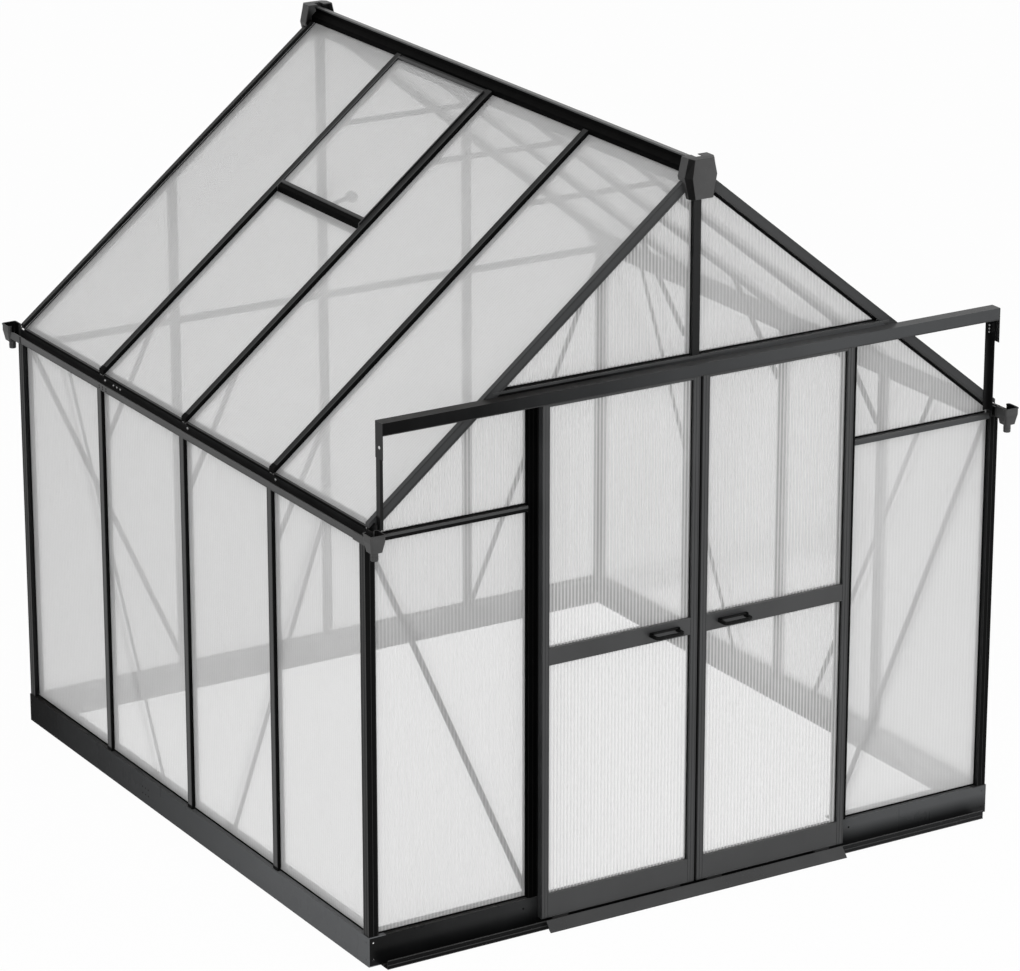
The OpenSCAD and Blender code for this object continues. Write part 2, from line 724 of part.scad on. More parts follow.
// The bar across the bay that the closed vent rests on
module roof_vent_sill() color(frame_color) mirror([1, 0, 0]) {
    y0 = stud_ys[vent_bay - 1];
    y1 = stud_ys[vent_bay];
    slope_layer(p_leg / 2, p_leg, vent_foot_x - sill_bar_w, vent_foot_x + sheet_bite,
                y0 + bar_leg_w / 2, y1 - bar_leg_w / 2);
    slope_layer(p_leg - eps, vent_p0 - slope_play, vent_foot_x - sill_bar_w, vent_foot_x,
                y0 + bar_cap_w / 2, y1 - bar_cap_w / 2);
}

// The stay hangs from the sill bar and points into the building, with a knob at its end
module roof_vent_stay() color(plastic_color) mirror([1, 0, 0]) {
    y_mid = (stud_ys[vent_bay - 1] + stud_ys[vent_bay]) / 2;
    x0 = vent_foot_x - sill_bar_w;
    x1 = x0 - stay_l;
    z0 = roof_z(x0, p_leg / 2) + stay_t;
    z1 = z0 + stay_l * stay_rise;
    slab_xz([[x0, z0 - stay_t], [x0, z0], [x1, z1], [x1, z1 - stay_t]],
            y_mid - stay_w / 2, y_mid + stay_w / 2);
    translate([x1, y_mid + knob_l / 2, z1 - stay_t / 2]) rotate([90, 0, 0]) cylinder(h = knob_l, r = knob_r);
}

// ---- door rail and track ----

module door_top_rail() color(frame_color) {
    end_x = rail_half - rail_t;
    z0 = rail_top - rail_h;
    y_front = -half_d - rail_front;
    y_back = -face_y;
    block([-end_x, y_front, rail_top - rail_t], [end_x, y_back, rail_top]);
    block([-end_x, y_front, z0], [end_x, y_front + rail_t, rail_top]);
    block([-end_x, y_back - rail_t - 1, z0], [end_x, y_back, rail_top]);
    block([-end_x, y_back - rail_t - 1 - shelf_d, shelf_z], [end_x, y_back - rail_t, shelf_z + shelf_t]);
}

plate_drop = 80;
strap_leg = 24;
strap_foot = 26;
module rail_brackets() color(frame_color) both_sides() {
    y_front = -half_d - rail_front;
    y_back = -face_y;
    z0 = rail_top - rail_h;
    x1 = rail_half - rail_t;
    block([x1, y_front, z0 - plate_drop], [rail_half, y_back, rail_top]);
    // the strap that ties the rail's end down to the eave
    block([x1 - rail_t, y_back - strap_leg, eave_h + strap_foot], [x1 + eps, y_back, z0]);
    block([x1 - strap_leg, y_back - rail_t, eave_h + strap_foot], [x1, y_back, z0]);
}

module door_bottom_track() color(frame_color) {
    block([-rail_half, -half_d - track_front, 0], [rail_half, -half_d, rail_t]);
    block([-rail_half, -half_d - track_front, 0], [rail_half, -half_d - track_front + 3, track_h]);
}

module door_ramp() color(frame_color)
    slab_yz([[-half_d - ramp_reach, 0], [-half_d - ramp_reach + 6, 0],
             [-half_d - track_front, track_h - 4], [-half_d - track_front, track_h + 1.5],
             [-half_d - track_front - 3, track_h + 1.5]], -ramp_half, ramp_half);

// ---- door leaves ----

// A leaf's two openings, drawn out by g on every side
module leaf_openings(y0, y1, g) {
    x0 = leaf_x0 + stile_w - g;
    x1 = leaf_x1 - stile_w + g;
    block([x0, y0, leaf_foot + leaf_bottom_h - g], [x1, y1, leaf_mid_z + g]);
    block([x0, y0, leaf_mid_z + leaf_mid_h - g], [x1, y1, leaf_top - leaf_top_h + g]);
}

module right_door_frame() color(frame_color) difference() {
    block([leaf_x0, -half_d - leaf_front, leaf_foot], [leaf_x1, -half_d - leaf_back, leaf_top]);
    leaf_openings(-half_d - leaf_front - 1, -half_d - leaf_back + 1, 0);
    leaf_openings(-half_d - leaf_sheet_y - sheet_t / 2 - sheet_play / 2,
                  -half_d - leaf_sheet_y + sheet_t / 2 + sheet_play / 2, leaf_groove);
}

module right_door_sheets() color(sheet_color)
    leaf_openings(-half_d - leaf_sheet_y - sheet_t / 2, -half_d - leaf_sheet_y + sheet_t / 2,
                  leaf_groove - sheet_play);

module right_door_handle() color(plastic_color) {
    z_mid = leaf_mid_z + leaf_mid_h / 2;
    y_leaf = -half_d - leaf_front;
    x0 = handle_x - handle_l / 2;
    x1 = handle_x + handle_l / 2;
    z0 = z_mid - handle_h / 2;
    z1 = z_mid + handle_h / 2;
    back_strip = 3;
    difference() {
        block([x0, y_leaf - handle_reach, z0], [x1, y_leaf, z1]);
        block([x0 + handle_t, y_leaf - handle_reach + handle_t, z0 - 1],
              [x1 - handle_t, y_leaf - back_strip, z1 + 1]);
    }
}

module right_door_rollers() color(plastic_color) for (x = [leaf_x0 + roller_x, leaf_x1 - roller_x]) {
    wheel_y = -half_d - leaf_back + 6;
    translate([x, wheel_y + roller_t, roller_z]) rotate([90, 0, 0]) cylinder(h = roller_t, r = roller_r);
    translate([x, wheel_y + eps, roller_z]) rotate([90, 0, 0]) cylinder(h = 6 + eps, r = 3);
    // the tongue that runs in the bottom track
    block([x - guide_l / 2, -half_d - leaf_sheet_y - guide_t / 2, leaf_foot - guide_h],
          [x + guide_l / 2, -half_d - leaf_sheet_y + guide_t / 2, leaf_foot]);
}

module left_door_frame() mirror([1, 0, 0]) right_door_frame();
module left_door_sheets() mirror([1, 0, 0]) right_door_sheets();
module left_door_handle() mirror([1, 0, 0]) right_door_handle();
module left_door_rollers() mirror([1, 0, 0]) right_door_rollers();

// ---- every node ----

base_front();
base_rear();
base_left();
base_right();
corner_posts();
side_wall_studs();
rear_studs();
door_jambs();
front_gable_post();
front_gable_sill();
front_eave_rails();
rear_eave_rail();
wall_braces();
knee_braces();
collar_ties();
gable_rafters();
roof_rafters();
ridge_beam();
ridge_caps();
left_gutter();
right_gutter();
left_gutter_outlets();
right_gutter_outlets();
left_wall_sheets();
right_wall_sheets();
rear_wall_sheets();
front_wall_sheets();
front_gable_sheets();
left_roof_sheets();
right_roof_sheets();
roof_vent_frame();
roof_vent_sheet();
roof_vent_sill();
roof_vent_stay();
door_top_rail();
rail_brackets();
door_bottom_track();
door_ramp();
left_door_frame();
left_door_sheets();
left_door_handle();
left_door_rollers();
right_door_frame();
right_door_sheets();
right_door_handle();
right_door_rollers();
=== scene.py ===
"""Looks of the polycarbonate greenhouse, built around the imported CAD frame. Metres throughout."""
import json
import math

import bmesh
import bpy
from mathutils import Matrix, Vector

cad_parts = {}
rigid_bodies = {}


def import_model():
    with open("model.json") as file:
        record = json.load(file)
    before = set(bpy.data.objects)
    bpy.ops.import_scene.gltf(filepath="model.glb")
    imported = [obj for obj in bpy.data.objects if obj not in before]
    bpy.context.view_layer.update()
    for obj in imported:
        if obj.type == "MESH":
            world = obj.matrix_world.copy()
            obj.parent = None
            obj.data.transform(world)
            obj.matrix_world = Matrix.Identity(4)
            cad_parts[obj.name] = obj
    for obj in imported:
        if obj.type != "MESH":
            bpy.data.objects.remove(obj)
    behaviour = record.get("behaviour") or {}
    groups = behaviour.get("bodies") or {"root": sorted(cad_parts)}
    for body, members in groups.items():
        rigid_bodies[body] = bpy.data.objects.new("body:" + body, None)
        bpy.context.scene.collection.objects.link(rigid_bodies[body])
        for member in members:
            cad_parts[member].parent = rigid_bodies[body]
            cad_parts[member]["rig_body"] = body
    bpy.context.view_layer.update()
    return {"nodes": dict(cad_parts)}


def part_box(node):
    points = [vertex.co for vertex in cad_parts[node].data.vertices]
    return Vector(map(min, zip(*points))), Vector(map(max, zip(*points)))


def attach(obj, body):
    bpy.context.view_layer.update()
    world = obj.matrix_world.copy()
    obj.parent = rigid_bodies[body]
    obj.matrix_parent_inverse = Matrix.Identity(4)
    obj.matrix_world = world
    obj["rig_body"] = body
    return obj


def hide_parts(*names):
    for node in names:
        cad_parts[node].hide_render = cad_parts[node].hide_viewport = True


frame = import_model()
NODES = frame["nodes"]
BODY_OF = {n: o["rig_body"] for n, o in NODES.items()}


def add_object(name, data):
    obj = bpy.data.objects.new(name, data)
    bpy.context.scene.collection.objects.link(obj)
    return obj


# ---- camera ----

TARGET = Vector((0.0594, 0.0021, 1.0565))
AZIMUTH, ELEVATION, DISTANCE = math.radians(-31.273), math.radians(19.045), 16.435
LENS_MM, SENSOR_MM = 163.36, 36.0


def make_camera():
    data = bpy.data.cameras.new("camera")
    cam = add_object("camera", data)
    towards = Vector((math.sin(AZIMUTH) * math.cos(ELEVATION),
                      -math.cos(AZIMUTH) * math.cos(ELEVATION), math.sin(ELEVATION)))
    cam.location = TARGET + DISTANCE * towards
    cam.rotation_euler = (-towards).to_track_quat("-Z", "Y").to_euler()
    data.lens = LENS_MM
    data.sensor_width = SENSOR_MM
    data.sensor_fit = "HORIZONTAL"
    data.clip_end = 200
    bpy.context.scene.camera = cam


make_camera()

# ---- node helpers for materials ----


class Graph:
    """The node tree of a new material or world, with short calls to add and join nodes."""

    def __init__(self, name, kind="Material"):
        self.owner = (bpy.data.worlds if kind == "World" else bpy.data.materials).new(name)
        self.owner.use_nodes = True
        self.tree = self.owner.node_tree
        self.tree.nodes.clear()
        self.output = self.add("ShaderNodeOutput" + kind)
        self.coords = self.add("ShaderNodeTexCoord").outputs["Object"]

    def add(self, kind, inputs=None, **settings):
        node = self.tree.nodes.new(kind)
        for key, value in settings.items():
            setattr(node, key, value)
        for key, value in (inputs or {}).items():
            self.set(node.inputs[key], value)
        return node

    def set(self, socket, value):
        if isinstance(value, bpy.types.NodeSocket):
            self.tree.links.new(value, socket)
        else:
            socket.default_value = value

    def noise(self, scale, detail=3.0, stretch=(1, 1, 1), roughness=0.5):
        mapping = self.add("ShaderNodeMapping", {"Vector": self.coords, "Scale": stretch})
        return self.add("ShaderNodeTexNoise", {"Vector": mapping.outputs[0], "Scale": scale,
                                               "Detail": detail, "Roughness": roughness}).outputs["Fac"]

    def remap(self, value, low, high, out_low, out_high):
        return self.add("ShaderNodeMapRange", {"Value": value, "From Min": low, "From Max": high,
                                               "To Min": out_low, "To Max": out_high}).outputs["Result"]

    def math(self, operation, a, b=0.0, c=0.0):
        return self.add("ShaderNodeMath", {0: a, 1: b, 2: c}, operation=operation).outputs[0]

    def blend(self, factor, a, b):
        """A colour between a and b."""
        node = self.add("ShaderNodeMix", data_type="RGBA")
        self.set(node.inputs[0], factor)
        self.set(node.inputs[6], a)
        self.set(node.inputs[7], b)
        return node.outputs[2]

    def mix_shader(self, factor, a, b):
        return self.add("ShaderNodeMixShader", {0: factor, 1: a, 2: b}).outputs[0]

    def bump(self, height, strength, distance):
        return self.add("ShaderNodeBump", {"Height": height, "Strength": strength,
                                           "Distance": distance}).outputs["Normal"]

    def finish(self, shader):
        self.tree.links.new(shader, self.output.inputs["Surface"])
        return self.owner


def grey(value, warm=0.0):
    return (value * (1 + warm), value, value * (1 - warm), 1.0)


def coated_metal(name, dark, light, specular, roughness=(0.36, 0.5), ramp=None):
    """Powder-coated metal: a fine orange-peel surface, cloudy gloss and pale dust on level faces.
    The last argument, (axis, start, end, tone, shade height), paints light onto a long bar: the coat
    grows paler along it, a painted gradient of reflected light, and darker towards its foot below the
    shade height, a painted shade."""
    g = Graph(name)
    peel = g.noise(900, 2.0)
    cloud = g.noise(5, 4.0)
    streak = g.noise(60, 3.0, (1, 1, 0.05))
    tone = g.math("ADD", g.math("MULTIPLY", cloud, 0.85), g.math("MULTIPLY", streak, 0.15))
    colour = g.blend(g.remap(tone, 0.3, 0.7, 0.0, 1.0), grey(dark, -0.03), grey(light, -0.03))
    # painted light: a paler coat along the bar
    if ramp:
        axis, start, end, pale, shade_height = ramp
        place = g.add("ShaderNodeSeparateXYZ", {0: g.coords})
        lit_share = g.math("ADD", g.remap(place.outputs[axis], start, end, 0.0, 1.0),
                       g.remap(tone, 0.3, 0.7, -0.03, 0.03))
        # painted shade: darker towards the foot
        if shade_height:
            lit_share = g.math("MULTIPLY", lit_share, g.remap(place.outputs[2], shade_height * 0.3, shade_height, 0.1, 1.0))
        colour = g.blend(lit_share, colour, grey(pale, -0.03))
    up = g.add("ShaderNodeSeparateXYZ", {0: g.add("ShaderNodeNewGeometry").outputs["Normal"]}).outputs[2]
    dust = g.math("MULTIPLY", g.remap(up, 0.75, 1.0, 0.0, 0.10), g.noise(25, 5.0))
    colour = g.blend(dust, colour, grey(0.32, 0.06))
    bsdf = g.add("ShaderNodeBsdfPrincipled", {
        "Base Color": colour, "Roughness": g.remap(tone, 0.3, 0.7, *roughness),
        "Specular IOR Level": specular, "Normal": g.bump(peel, 0.12, 0.0006)})
    return g.finish(bsdf.outputs[0])


def moulded_plastic(name, dark, light, specular=0.38):
    g = Graph(name)
    grain = g.noise(1400, 2.0)
    cloud = g.noise(14, 3.0)
    colour = g.blend(g.remap(cloud, 0.35, 0.65, 0.0, 1.0), grey(dark), grey(light))
    bsdf = g.add("ShaderNodeBsdfPrincipled", {
        "Base Color": colour, "Roughness": g.remap(cloud, 0.3, 0.7, 0.42, 0.56),
        "Specular IOR Level": specular, "Normal": g.bump(grain, 0.2, 0.0004)})
    return g.finish(bsdf.outputs[0])


def rubber(name):
    g = Graph(name)
    grain = g.noise(700, 3.0)
    cloud = g.noise(30, 3.0)
    bsdf = g.add("ShaderNodeBsdfPrincipled", {
        "Base Color": g.blend(cloud, grey(0.0012), grey(0.0035)),
        "Roughness": g.remap(grain, 0.3, 0.7, 0.62, 0.8),
        "Specular IOR Level": 0.05, "Normal": g.bump(grain, 0.15, 0.0004)})
    return g.finish(bsdf.outputs[0])


def zinc_steel(name):
    g = Graph(name)
    spangle = g.add("ShaderNodeTexVoronoi", {"Vector": g.coords, "Scale": 700.0}).outputs["Distance"]
    cloud = g.noise(240, 3.0)
    bsdf = g.add("ShaderNodeBsdfPrincipled", {
        "Base Color": g.blend(cloud, grey(0.5), grey(0.72)), "Metallic": 0.9,
        "Roughness": g.remap(spangle, 0.0, 0.7, 0.25, 0.42), "Normal": g.bump(spangle, 0.08, 0.0003)})
    return g.finish(bsdf.outputs[0])


def milky_plastic(name, clear_low, clear_rise, tint):
    """Milky polycarbonate: partly clear, partly lit through, and hazier at a shallow angle."""
    g = Graph(name)
    haze = g.noise(2.2, 1.0)
    facing = g.add("ShaderNodeLayerWeight", {"Blend": 0.5}).outputs["Facing"]
    opacity = g.math("MULTIPLY_ADD", facing, clear_rise, clear_low)
    opacity = g.math("MULTIPLY", opacity, g.remap(haze, 0.3, 0.7, 0.95, 1.05))
    colour = g.blend(haze, grey(tint * 0.96), grey(min(1.0, tint * 1.01)))
    through = g.add("ShaderNodeBsdfTranslucent", {"Color": colour}).outputs[0]
    skin = g.add("ShaderNodeBsdfDiffuse", {"Color": colour}).outputs[0]
    gloss = g.add("ShaderNodeBsdfGlossy", {"Color": (0.9, 0.9, 0.9, 1),
                                           "Roughness": g.remap(haze, 0.3, 0.7, 0.14, 0.24)}).outputs[0]
    fresnel = g.add("ShaderNodeFresnel", {"IOR": 1.25}).outputs[0]
    scatter = g.mix_shader(fresnel, g.mix_shader(0.35, through, skin), gloss)
    clear = g.add("ShaderNodeBsdfTransparent", {"Color": (0.988, 0.988, 0.988, 1)}).outputs[0]
    return g.finish(g.mix_shader(opacity, clear, scatter))


# Copies of one powder coat, each set darker or paler by how shaded or lit its parts are to read: painted shade and
# light. The gable, rail, eave, track, front base and side base coats also grow paler along their parts, painted
# gradients of light, and the front base darker at its foot, painted shade.
PAINT = coated_metal("frame_paint", 0.006, 0.010, 0.38, (0.30, 0.42))
SHADED_PAINT = coated_metal("shaded_paint", 0.0008, 0.002, 0.01, (0.40, 0.52))
GUTTER_PAINT = coated_metal("gutter_paint", 0.007, 0.011, 0.42, (0.30, 0.42))
POST_PAINT = coated_metal("post_paint", 0.003, 0.006, 0.15, (0.34, 0.46))
GABLE_PAINT = coated_metal("gable_paint", 0.003, 0.006, 0.20, (0.30, 0.40), (1, 1.2, -1.1, 0.030, 0.0))
BAR_PAINT = coated_metal("bar_paint", 0.003, 0.006, 0.13, (0.32, 0.44))
LIT_PAINT = coated_metal("lit_paint", 0.020, 0.028, 0.50, (0.28, 0.38))
RAIL_PAINT = coated_metal("rail_paint", 0.001, 0.003, 0.06, (0.28, 0.38), (0, -0.95, 0.45, 0.060, 0.0))
EAVE_PAINT = coated_metal("eave_paint", 0.001, 0.003, 0.06, (0.28, 0.38), (0, -0.4, 0.4, 0.060, 0.0))
TRACK_PAINT = coated_metal("track_paint", 0.001, 0.003, 0.06, (0.28, 0.38), (0, -1.0, 1.0, 0.014, 0.0))
BASE_PAINT = coated_metal("base_paint", 0.012, 0.019, 0.50, (0.24, 0.34))
FRONT_BASE_PAINT = coated_metal("front_base_paint", 0.002, 0.004, 0.10, (0.24, 0.34),
                                (0, -1.2, 1.0, 0.080, 0.075))
SIDE_BASE_PAINT = coated_metal("side_base_paint", 0.001, 0.002, 0.01, (0.24, 0.34),
                               (1, 1.25, -0.7, 0.115, 0.0))
PLASTIC = moulded_plastic("black_plastic", 0.020, 0.034)
# a darker, less glossy copy of the black plastic: painted shade where it lines the outlets' insides and the ridge
# caps' slanting sides; the door handles are made of it too
DARK_PLASTIC = moulded_plastic("dark_plastic", 0.002, 0.005, 0.08)
RUBBER = rubber("seal_rubber")
ZINC = zinc_steel("zinc_steel")
# for each kind of sheet: (clear_low, clear_rise, tint) of its outer cells, its ribs and its inner face
SHEETS_OF = {
    kind: tuple(milky_plastic(f"{name}_{part}", *look) for part, look in zip(("sheet", "rib", "inner"), looks))
    for kind, name, *looks in (
        ("front", "wall", (0.36, 0.12, 0.85), (0.68, 0.06, 0.82), (0.22, 0.22, 0.86)),
        ("pane", "pane", (0.42, 0.12, 0.87), (0.57, 0.06, 0.85), (0.24, 0.22, 0.87)),
        ("door", "door", (0.31, 0.12, 0.99), (0.76, 0.06, 0.83), (0.18, 0.22, 0.95)),
        ("milky", "milky", (0.55, 0.12, 0.90), (0.61, 0.06, 0.88), (0.36, 0.20, 0.90)),
        ("side", "side", (0.50, 0.12, 0.92), (0.54, 0.12, 0.91), (0.29, 0.22, 0.92)),
        ("roof", "roof", (0.52, 0.14, 0.90), (0.55, 0.14, 0.90), (0.38, 0.20, 0.90)))
}
# the slot name of each material; every coat is frame_paint
SLOT_OF = {PLASTIC: "black_plastic", DARK_PLASTIC: "black_plastic", RUBBER: "black_plastic", ZINC: None}

# ---- mesh helpers ----


def mesh_object(name, bm):
    """A new object with bm's faces, turned outwards. bm is used up."""
    bmesh.ops.recalc_face_normals(bm, faces=bm.faces)
    mesh = bpy.data.meshes.new(name)
    bm.to_mesh(mesh)
    bm.free()
    return add_object(name, mesh)


def make_object(name, bm, material, replaces=None, body=None, slot=None):
    """A visible piece. It rides the body of the node that it replaces, or else the building."""
    obj = mesh_object(name, bm)
    obj.data.materials.append(material)
    for polygon in obj.data.polygons:
        polygon.use_smooth = False
    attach(obj, body or BODY_OF.get(replaces, "building"))
    if replaces:
        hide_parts(replaces)
    slot = slot or SLOT_OF.get(material, "frame_paint")
    return obj


def welded(node):
    """The node's mesh with its corners joined, as a new bmesh."""
    bm = bmesh.new()
    bm.from_mesh(NODES[node].data)
    bmesh.ops.remove_doubles(bm, verts=bm.verts, dist=1e-6)
    return bm


def islands(bm):
    """The faces of each separate solid."""
    seen, out = set(), []
    for start in bm.faces:
        if start in seen:
            continue
        group, stack = [], [start]
        seen.add(start)
        while stack:
            face = stack.pop()
            group.append(face)
            for edge in face.edges:
                for other in edge.link_faces:
                    if other not in seen:
                        seen.add(other)
                        stack.append(other)
        out.append(group)
    return out


def extent(group):
    """The lowest and highest corner of a solid's box."""
    points = [v.co for f in group for v in f.verts]
    return tuple(Vector([pick(p[i] for p in points) for i in range(3)]) for pick in (min, max))


# ---- twin-wall sheets: the ribs show as raised lines on both faces ----

RIB_PITCH, RIB = 0.0131, 0.0058
HOLLOW = 0.06


def outline(group, u, t, depth_axis):
    """Segments (u, t) of a solid's outline, taken from its face that looks along the depth axis."""
    flat = [f for f in group if abs(f.normal.normalized()[depth_axis] - 1.0) < 0.35]
    inside = set(flat)
    segments = []
    for face in flat:
        for edge in face.edges:
            if sum(1 for f in edge.link_faces if f in inside) == 1:
                a, b = (v.co for v in edge.verts)
                segments.append(((a[u], a[t]), (b[u], b[t])))
    return segments


def span_at(segments, value):
    hits = []
    for (u0, t0), (u1, t1) in segments:
        if min(u0, u1) - 1e-9 <= value <= max(u0, u1) + 1e-9 and abs(u1 - u0) > 1e-7:
            hits.append(t0 + (t1 - t0) * (value - u0) / (u1 - u0))
    return (min(hits), max(hits)) if hits else None


def ribbed_solid(bm, columns, place, outer):
    """columns: (u, low, high) lines in order, in pairs rib/hollow. place(u, t, d) gives a point.
    outer is the depth, 0 or 1, of the face that looks out."""
    depths = (0.0, HOLLOW, 1.0 - HOLLOW, 1.0)
    lines = []
    for u, low, high in columns:
        lines.append([[bm.verts.new(place(u, low, d)) for d in depths],
                      [bm.verts.new(place(u, high, d)) for d in depths]])

    def quad(*verts, material=0):
        bm.faces.new(verts).material_index = material

    last = len(lines) - 1
    for i in range(last):
        a, b = lines[i], lines[i + 1]
        rib = i % 2 == 0
        for j in (0, 1, 2) if rib else (1,):
            for end in (0, 1):
                quad(a[end][j], a[end][j + 1], b[end][j + 1], b[end][j], material=2)
        for j, side in ((0, 0), (3, 1)) if rib else ((1, 0), (2, 1)):
            quad(a[0][j], a[1][j], b[1][j], b[0][j], material=int(rib) if side == outer else 2)
    for i, line in enumerate(lines):
        for j in (0, 1, 2) if i in (0, last) else (0, 2):
            quad(line[0][j], line[1][j], line[1][j + 1], line[0][j + 1], material=2)


def sheet_columns(segments):
    """Splits an outline into stretches with no upright step, and each into rib and cell lines."""
    ends = sorted({round(p[0], 6) for seg in segments for p in seg})
    stretches, start = [], ends[0]
    for value in ends[1:-1]:
        before, after = span_at(segments, value - 1e-5), span_at(segments, value + 1e-5)
        if abs(before[0] - after[0]) + abs(before[1] - after[1]) > 1e-3:
            stretches.append((start, value))
            start = value
    stretches.append((start, ends[-1]))
    for u0, u1 in stretches:
        lo, hi = u0 + 1e-5, u1 - 1e-5
        # a pointed end is cut off just short of its tip
        (hi_low, hi_high), (lo_low, lo_high) = span_at(segments, hi), span_at(segments, lo)
        if hi_high - hi_low < 2e-3:
            hi -= 3e-3
        if lo_high - lo_low < 2e-3:
            lo += 3e-3
        cells = max(1, round((hi - lo - RIB) / RIB_PITCH))
        step = (hi - lo - RIB) / cells
        marks = []
        for i in range(cells + 1):
            marks += [lo + i * step, lo + i * step + RIB]
        for kink in (e for e in ends if lo + 2e-3 < e < hi - 2e-3):
            # the nearest pair of lines moves to the bend, so that the outline keeps its corner
            k = min(range(len(marks)), key=lambda n: abs(marks[n] - kink))
            marks[k] = kink
        yield [(m, *span_at(segments, m)) for m in marks]


def sheet_object(node, bm, kind, slot):
    cell, rib, inner = SHEETS_OF[kind]
    obj = make_object(node + "_ribbed", bm, cell, node, slot=slot)
    obj.data.materials.append(rib)
    obj.data.materials.append(inner)
    return obj


def wall_place(across, start, thickness):
    """Gives the function from (u, t, d) to a point of a wall, where d runs from 0 to 1 through it."""
    def place(u, t, d):
        depth = start + d * thickness
        return (depth, u, t) if across else (u, depth, t)
    return place


def ribbed_sheets(node, across, kind, slot):
    """Replaces a flat wall node. across is the axis (0 or 1) that the ribs are counted along."""
    depth = 1 - across
    bm = welded(node)
    out = bmesh.new()
    for group in islands(bm):
        lo, hi = (corner[depth] for corner in extent(group))
        for columns in sheet_columns(outline(group, across, 2, depth)):
            ribbed_solid(out, columns, wall_place(across, lo, hi - lo), int(lo + hi > 0))
    bm.free()
    return sheet_object(node, out, kind, slot)


def ribbed_slope(node, kind, slot, grow=0.0):
    """Replaces a roof node: ribs run down the slope, and are counted along the roof.
    grow widens the sheet at its sides and its head, where a slim frame shows more of it."""
    bm = welded(node)
    out = bmesh.new()
    for group in islands(bm):
        corners = [v.co for f in group for v in f.verts]
        low, high = extent(group)
        xs, ys = (low.x, high.x), (low.y, high.y)
        ends = {}
        for x in xs:
            heights = [c.z for c in corners if abs(c.x - x) < 1e-5]
            ends[x] = (min(heights), max(heights))
        ys = (ys[0] - grow, ys[1] + grow)
        head = 1 if abs(xs[1]) < abs(xs[0]) else 0
        new = xs[head] + (grow if head else -grow)
        rise = (ends[xs[1]][0] - ends[xs[0]][0]) / (xs[1] - xs[0]) * (new - xs[head])
        ends[new] = tuple(h + rise for h in ends[xs[head]])
        xs = (xs[0], new) if head else (new, xs[1])
        segments = [((ys[0], xs[0]), (ys[1], xs[0])), ((ys[0], xs[1]), (ys[1], xs[1]))]

        def place(u, t, d, xs=xs, ends=ends):
            f = (t - xs[0]) / (xs[1] - xs[0])
            low = ends[xs[0]][0] * (1 - f) + ends[xs[1]][0] * f
            high = ends[xs[0]][1] * (1 - f) + ends[xs[1]][1] * f
            return (t, u, low + d * (high - low))

        for columns in sheet_columns(segments):
            ribbed_solid(out, columns, place, 1)
    bm.free()
    sheet_object(node, out, kind, slot)


for wall in ("left_wall_sheets", "right_wall_sheets"):
    ribbed_sheets(wall, 1, "side", "wall_sheet")
ribbed_sheets("rear_wall_sheets", 0, "front", "wall_sheet")
for wall in ("left_door_sheets", "right_door_sheets"):
    ribbed_sheets(wall, 0, "door", "wall_sheet")
for wall, kind, right_kind in (("front_wall_sheets", "pane", "milky"),
                               ("front_gable_sheets", "front", "pane")):
    panes = ribbed_sheets(wall, 0, kind, "wall_sheet")
    for finish in SHEETS_OF[right_kind]:
        panes.data.materials.append(finish)
    for polygon in panes.data.polygons:
        # the panes to the right are milkier
        if polygon.center.x > 0:
            polygon.material_index += 3
for roof in ("left_roof_sheets", "right_roof_sheets"):
    ribbed_slope(roof, "roof", "roof_sheet")
ribbed_slope("roof_vent_sheet", "roof", "roof_sheet", 0.0125)

# ---- materials on the CAD nodes ----

# darker coats go on parts that are to read as shaded, paler ones on parts that are to read as lit: painted shade
# and light
COATS = {
    SIDE_BASE_PAINT: ("base_left",),
    BASE_PAINT: ("base_rear", "base_right", "door_ramp"),
    TRACK_PAINT: ("door_bottom_track",),
    RAIL_PAINT: ("door_top_rail",),
    LIT_PAINT: ("left_door_frame", "right_door_frame"),
    GABLE_PAINT: ("gable_rafters",),
    BAR_PAINT: ("roof_rafters",),
    POST_PAINT: ("corner_posts", "front_gable_post", "rail_brackets"),
    # the shaded coat: painted shade on the recessed jambs and the vent sill
    SHADED_PAINT: ("door_jambs", "roof_vent_sill"),
    EAVE_PAINT: ("front_gable_sill", "front_eave_rails"),
}
COAT_OF = {name: coat for coat, names in COATS.items() for name in names}

for name, obj in NODES.items():
    obj.data.materials.clear()
    obj.data.materials.append(COAT_OF.get(name, PAINT))

# ---- shapes for the fittings ----


def brick(bm, low, high, bevel=0.0):
    """A box between two corners, with its edges rounded."""
    low, high = Vector(low), Vector(high)
    size = high - low
    matrix = Matrix.Translation((low + high) / 2) @ Matrix.Diagonal((*size, 1))
    verts = bmesh.ops.create_cube(bm, size=1.0, matrix=matrix)["verts"]
    if bevel:
        edges = list(dict.fromkeys(e for v in verts for e in v.link_edges))
        bmesh.ops.bevel(bm, geom=edges, offset=min(bevel, min(size) * 0.45), segments=2,
                        affect="EDGES", profile=0.5)


def span_brick(bm, xs, ys, zs, bevel=0.0, sign=1, end=1):
    """A box from its spans along x, y and z. sign and end of -1 mirror it to the left and the front."""
    low, high = zip(sorted(sign * x for x in xs), sorted(end * y for y in ys), zs)
    brick(bm, low, high, bevel)


def skin(bm, rings):
    """Joins rings of points, one after another, and closes both ends."""
    rings = [[bm.verts.new(point) for point in ring] for ring in rings]
    for low, high in zip(rings, rings[1:]):
        for k in range(len(low)):
            m = (k + 1) % len(low)
            bm.faces.new((low[k], low[m], high[m], high[k]))
    bm.faces.new(rings[0][::-1])
    bm.faces.new(rings[-1])


def prism(bm, points, vector):
    """A flat outline of 3-D points drawn out along a vector."""
    skin(bm, [points, [Vector(p) + Vector(vector) for p in points]])


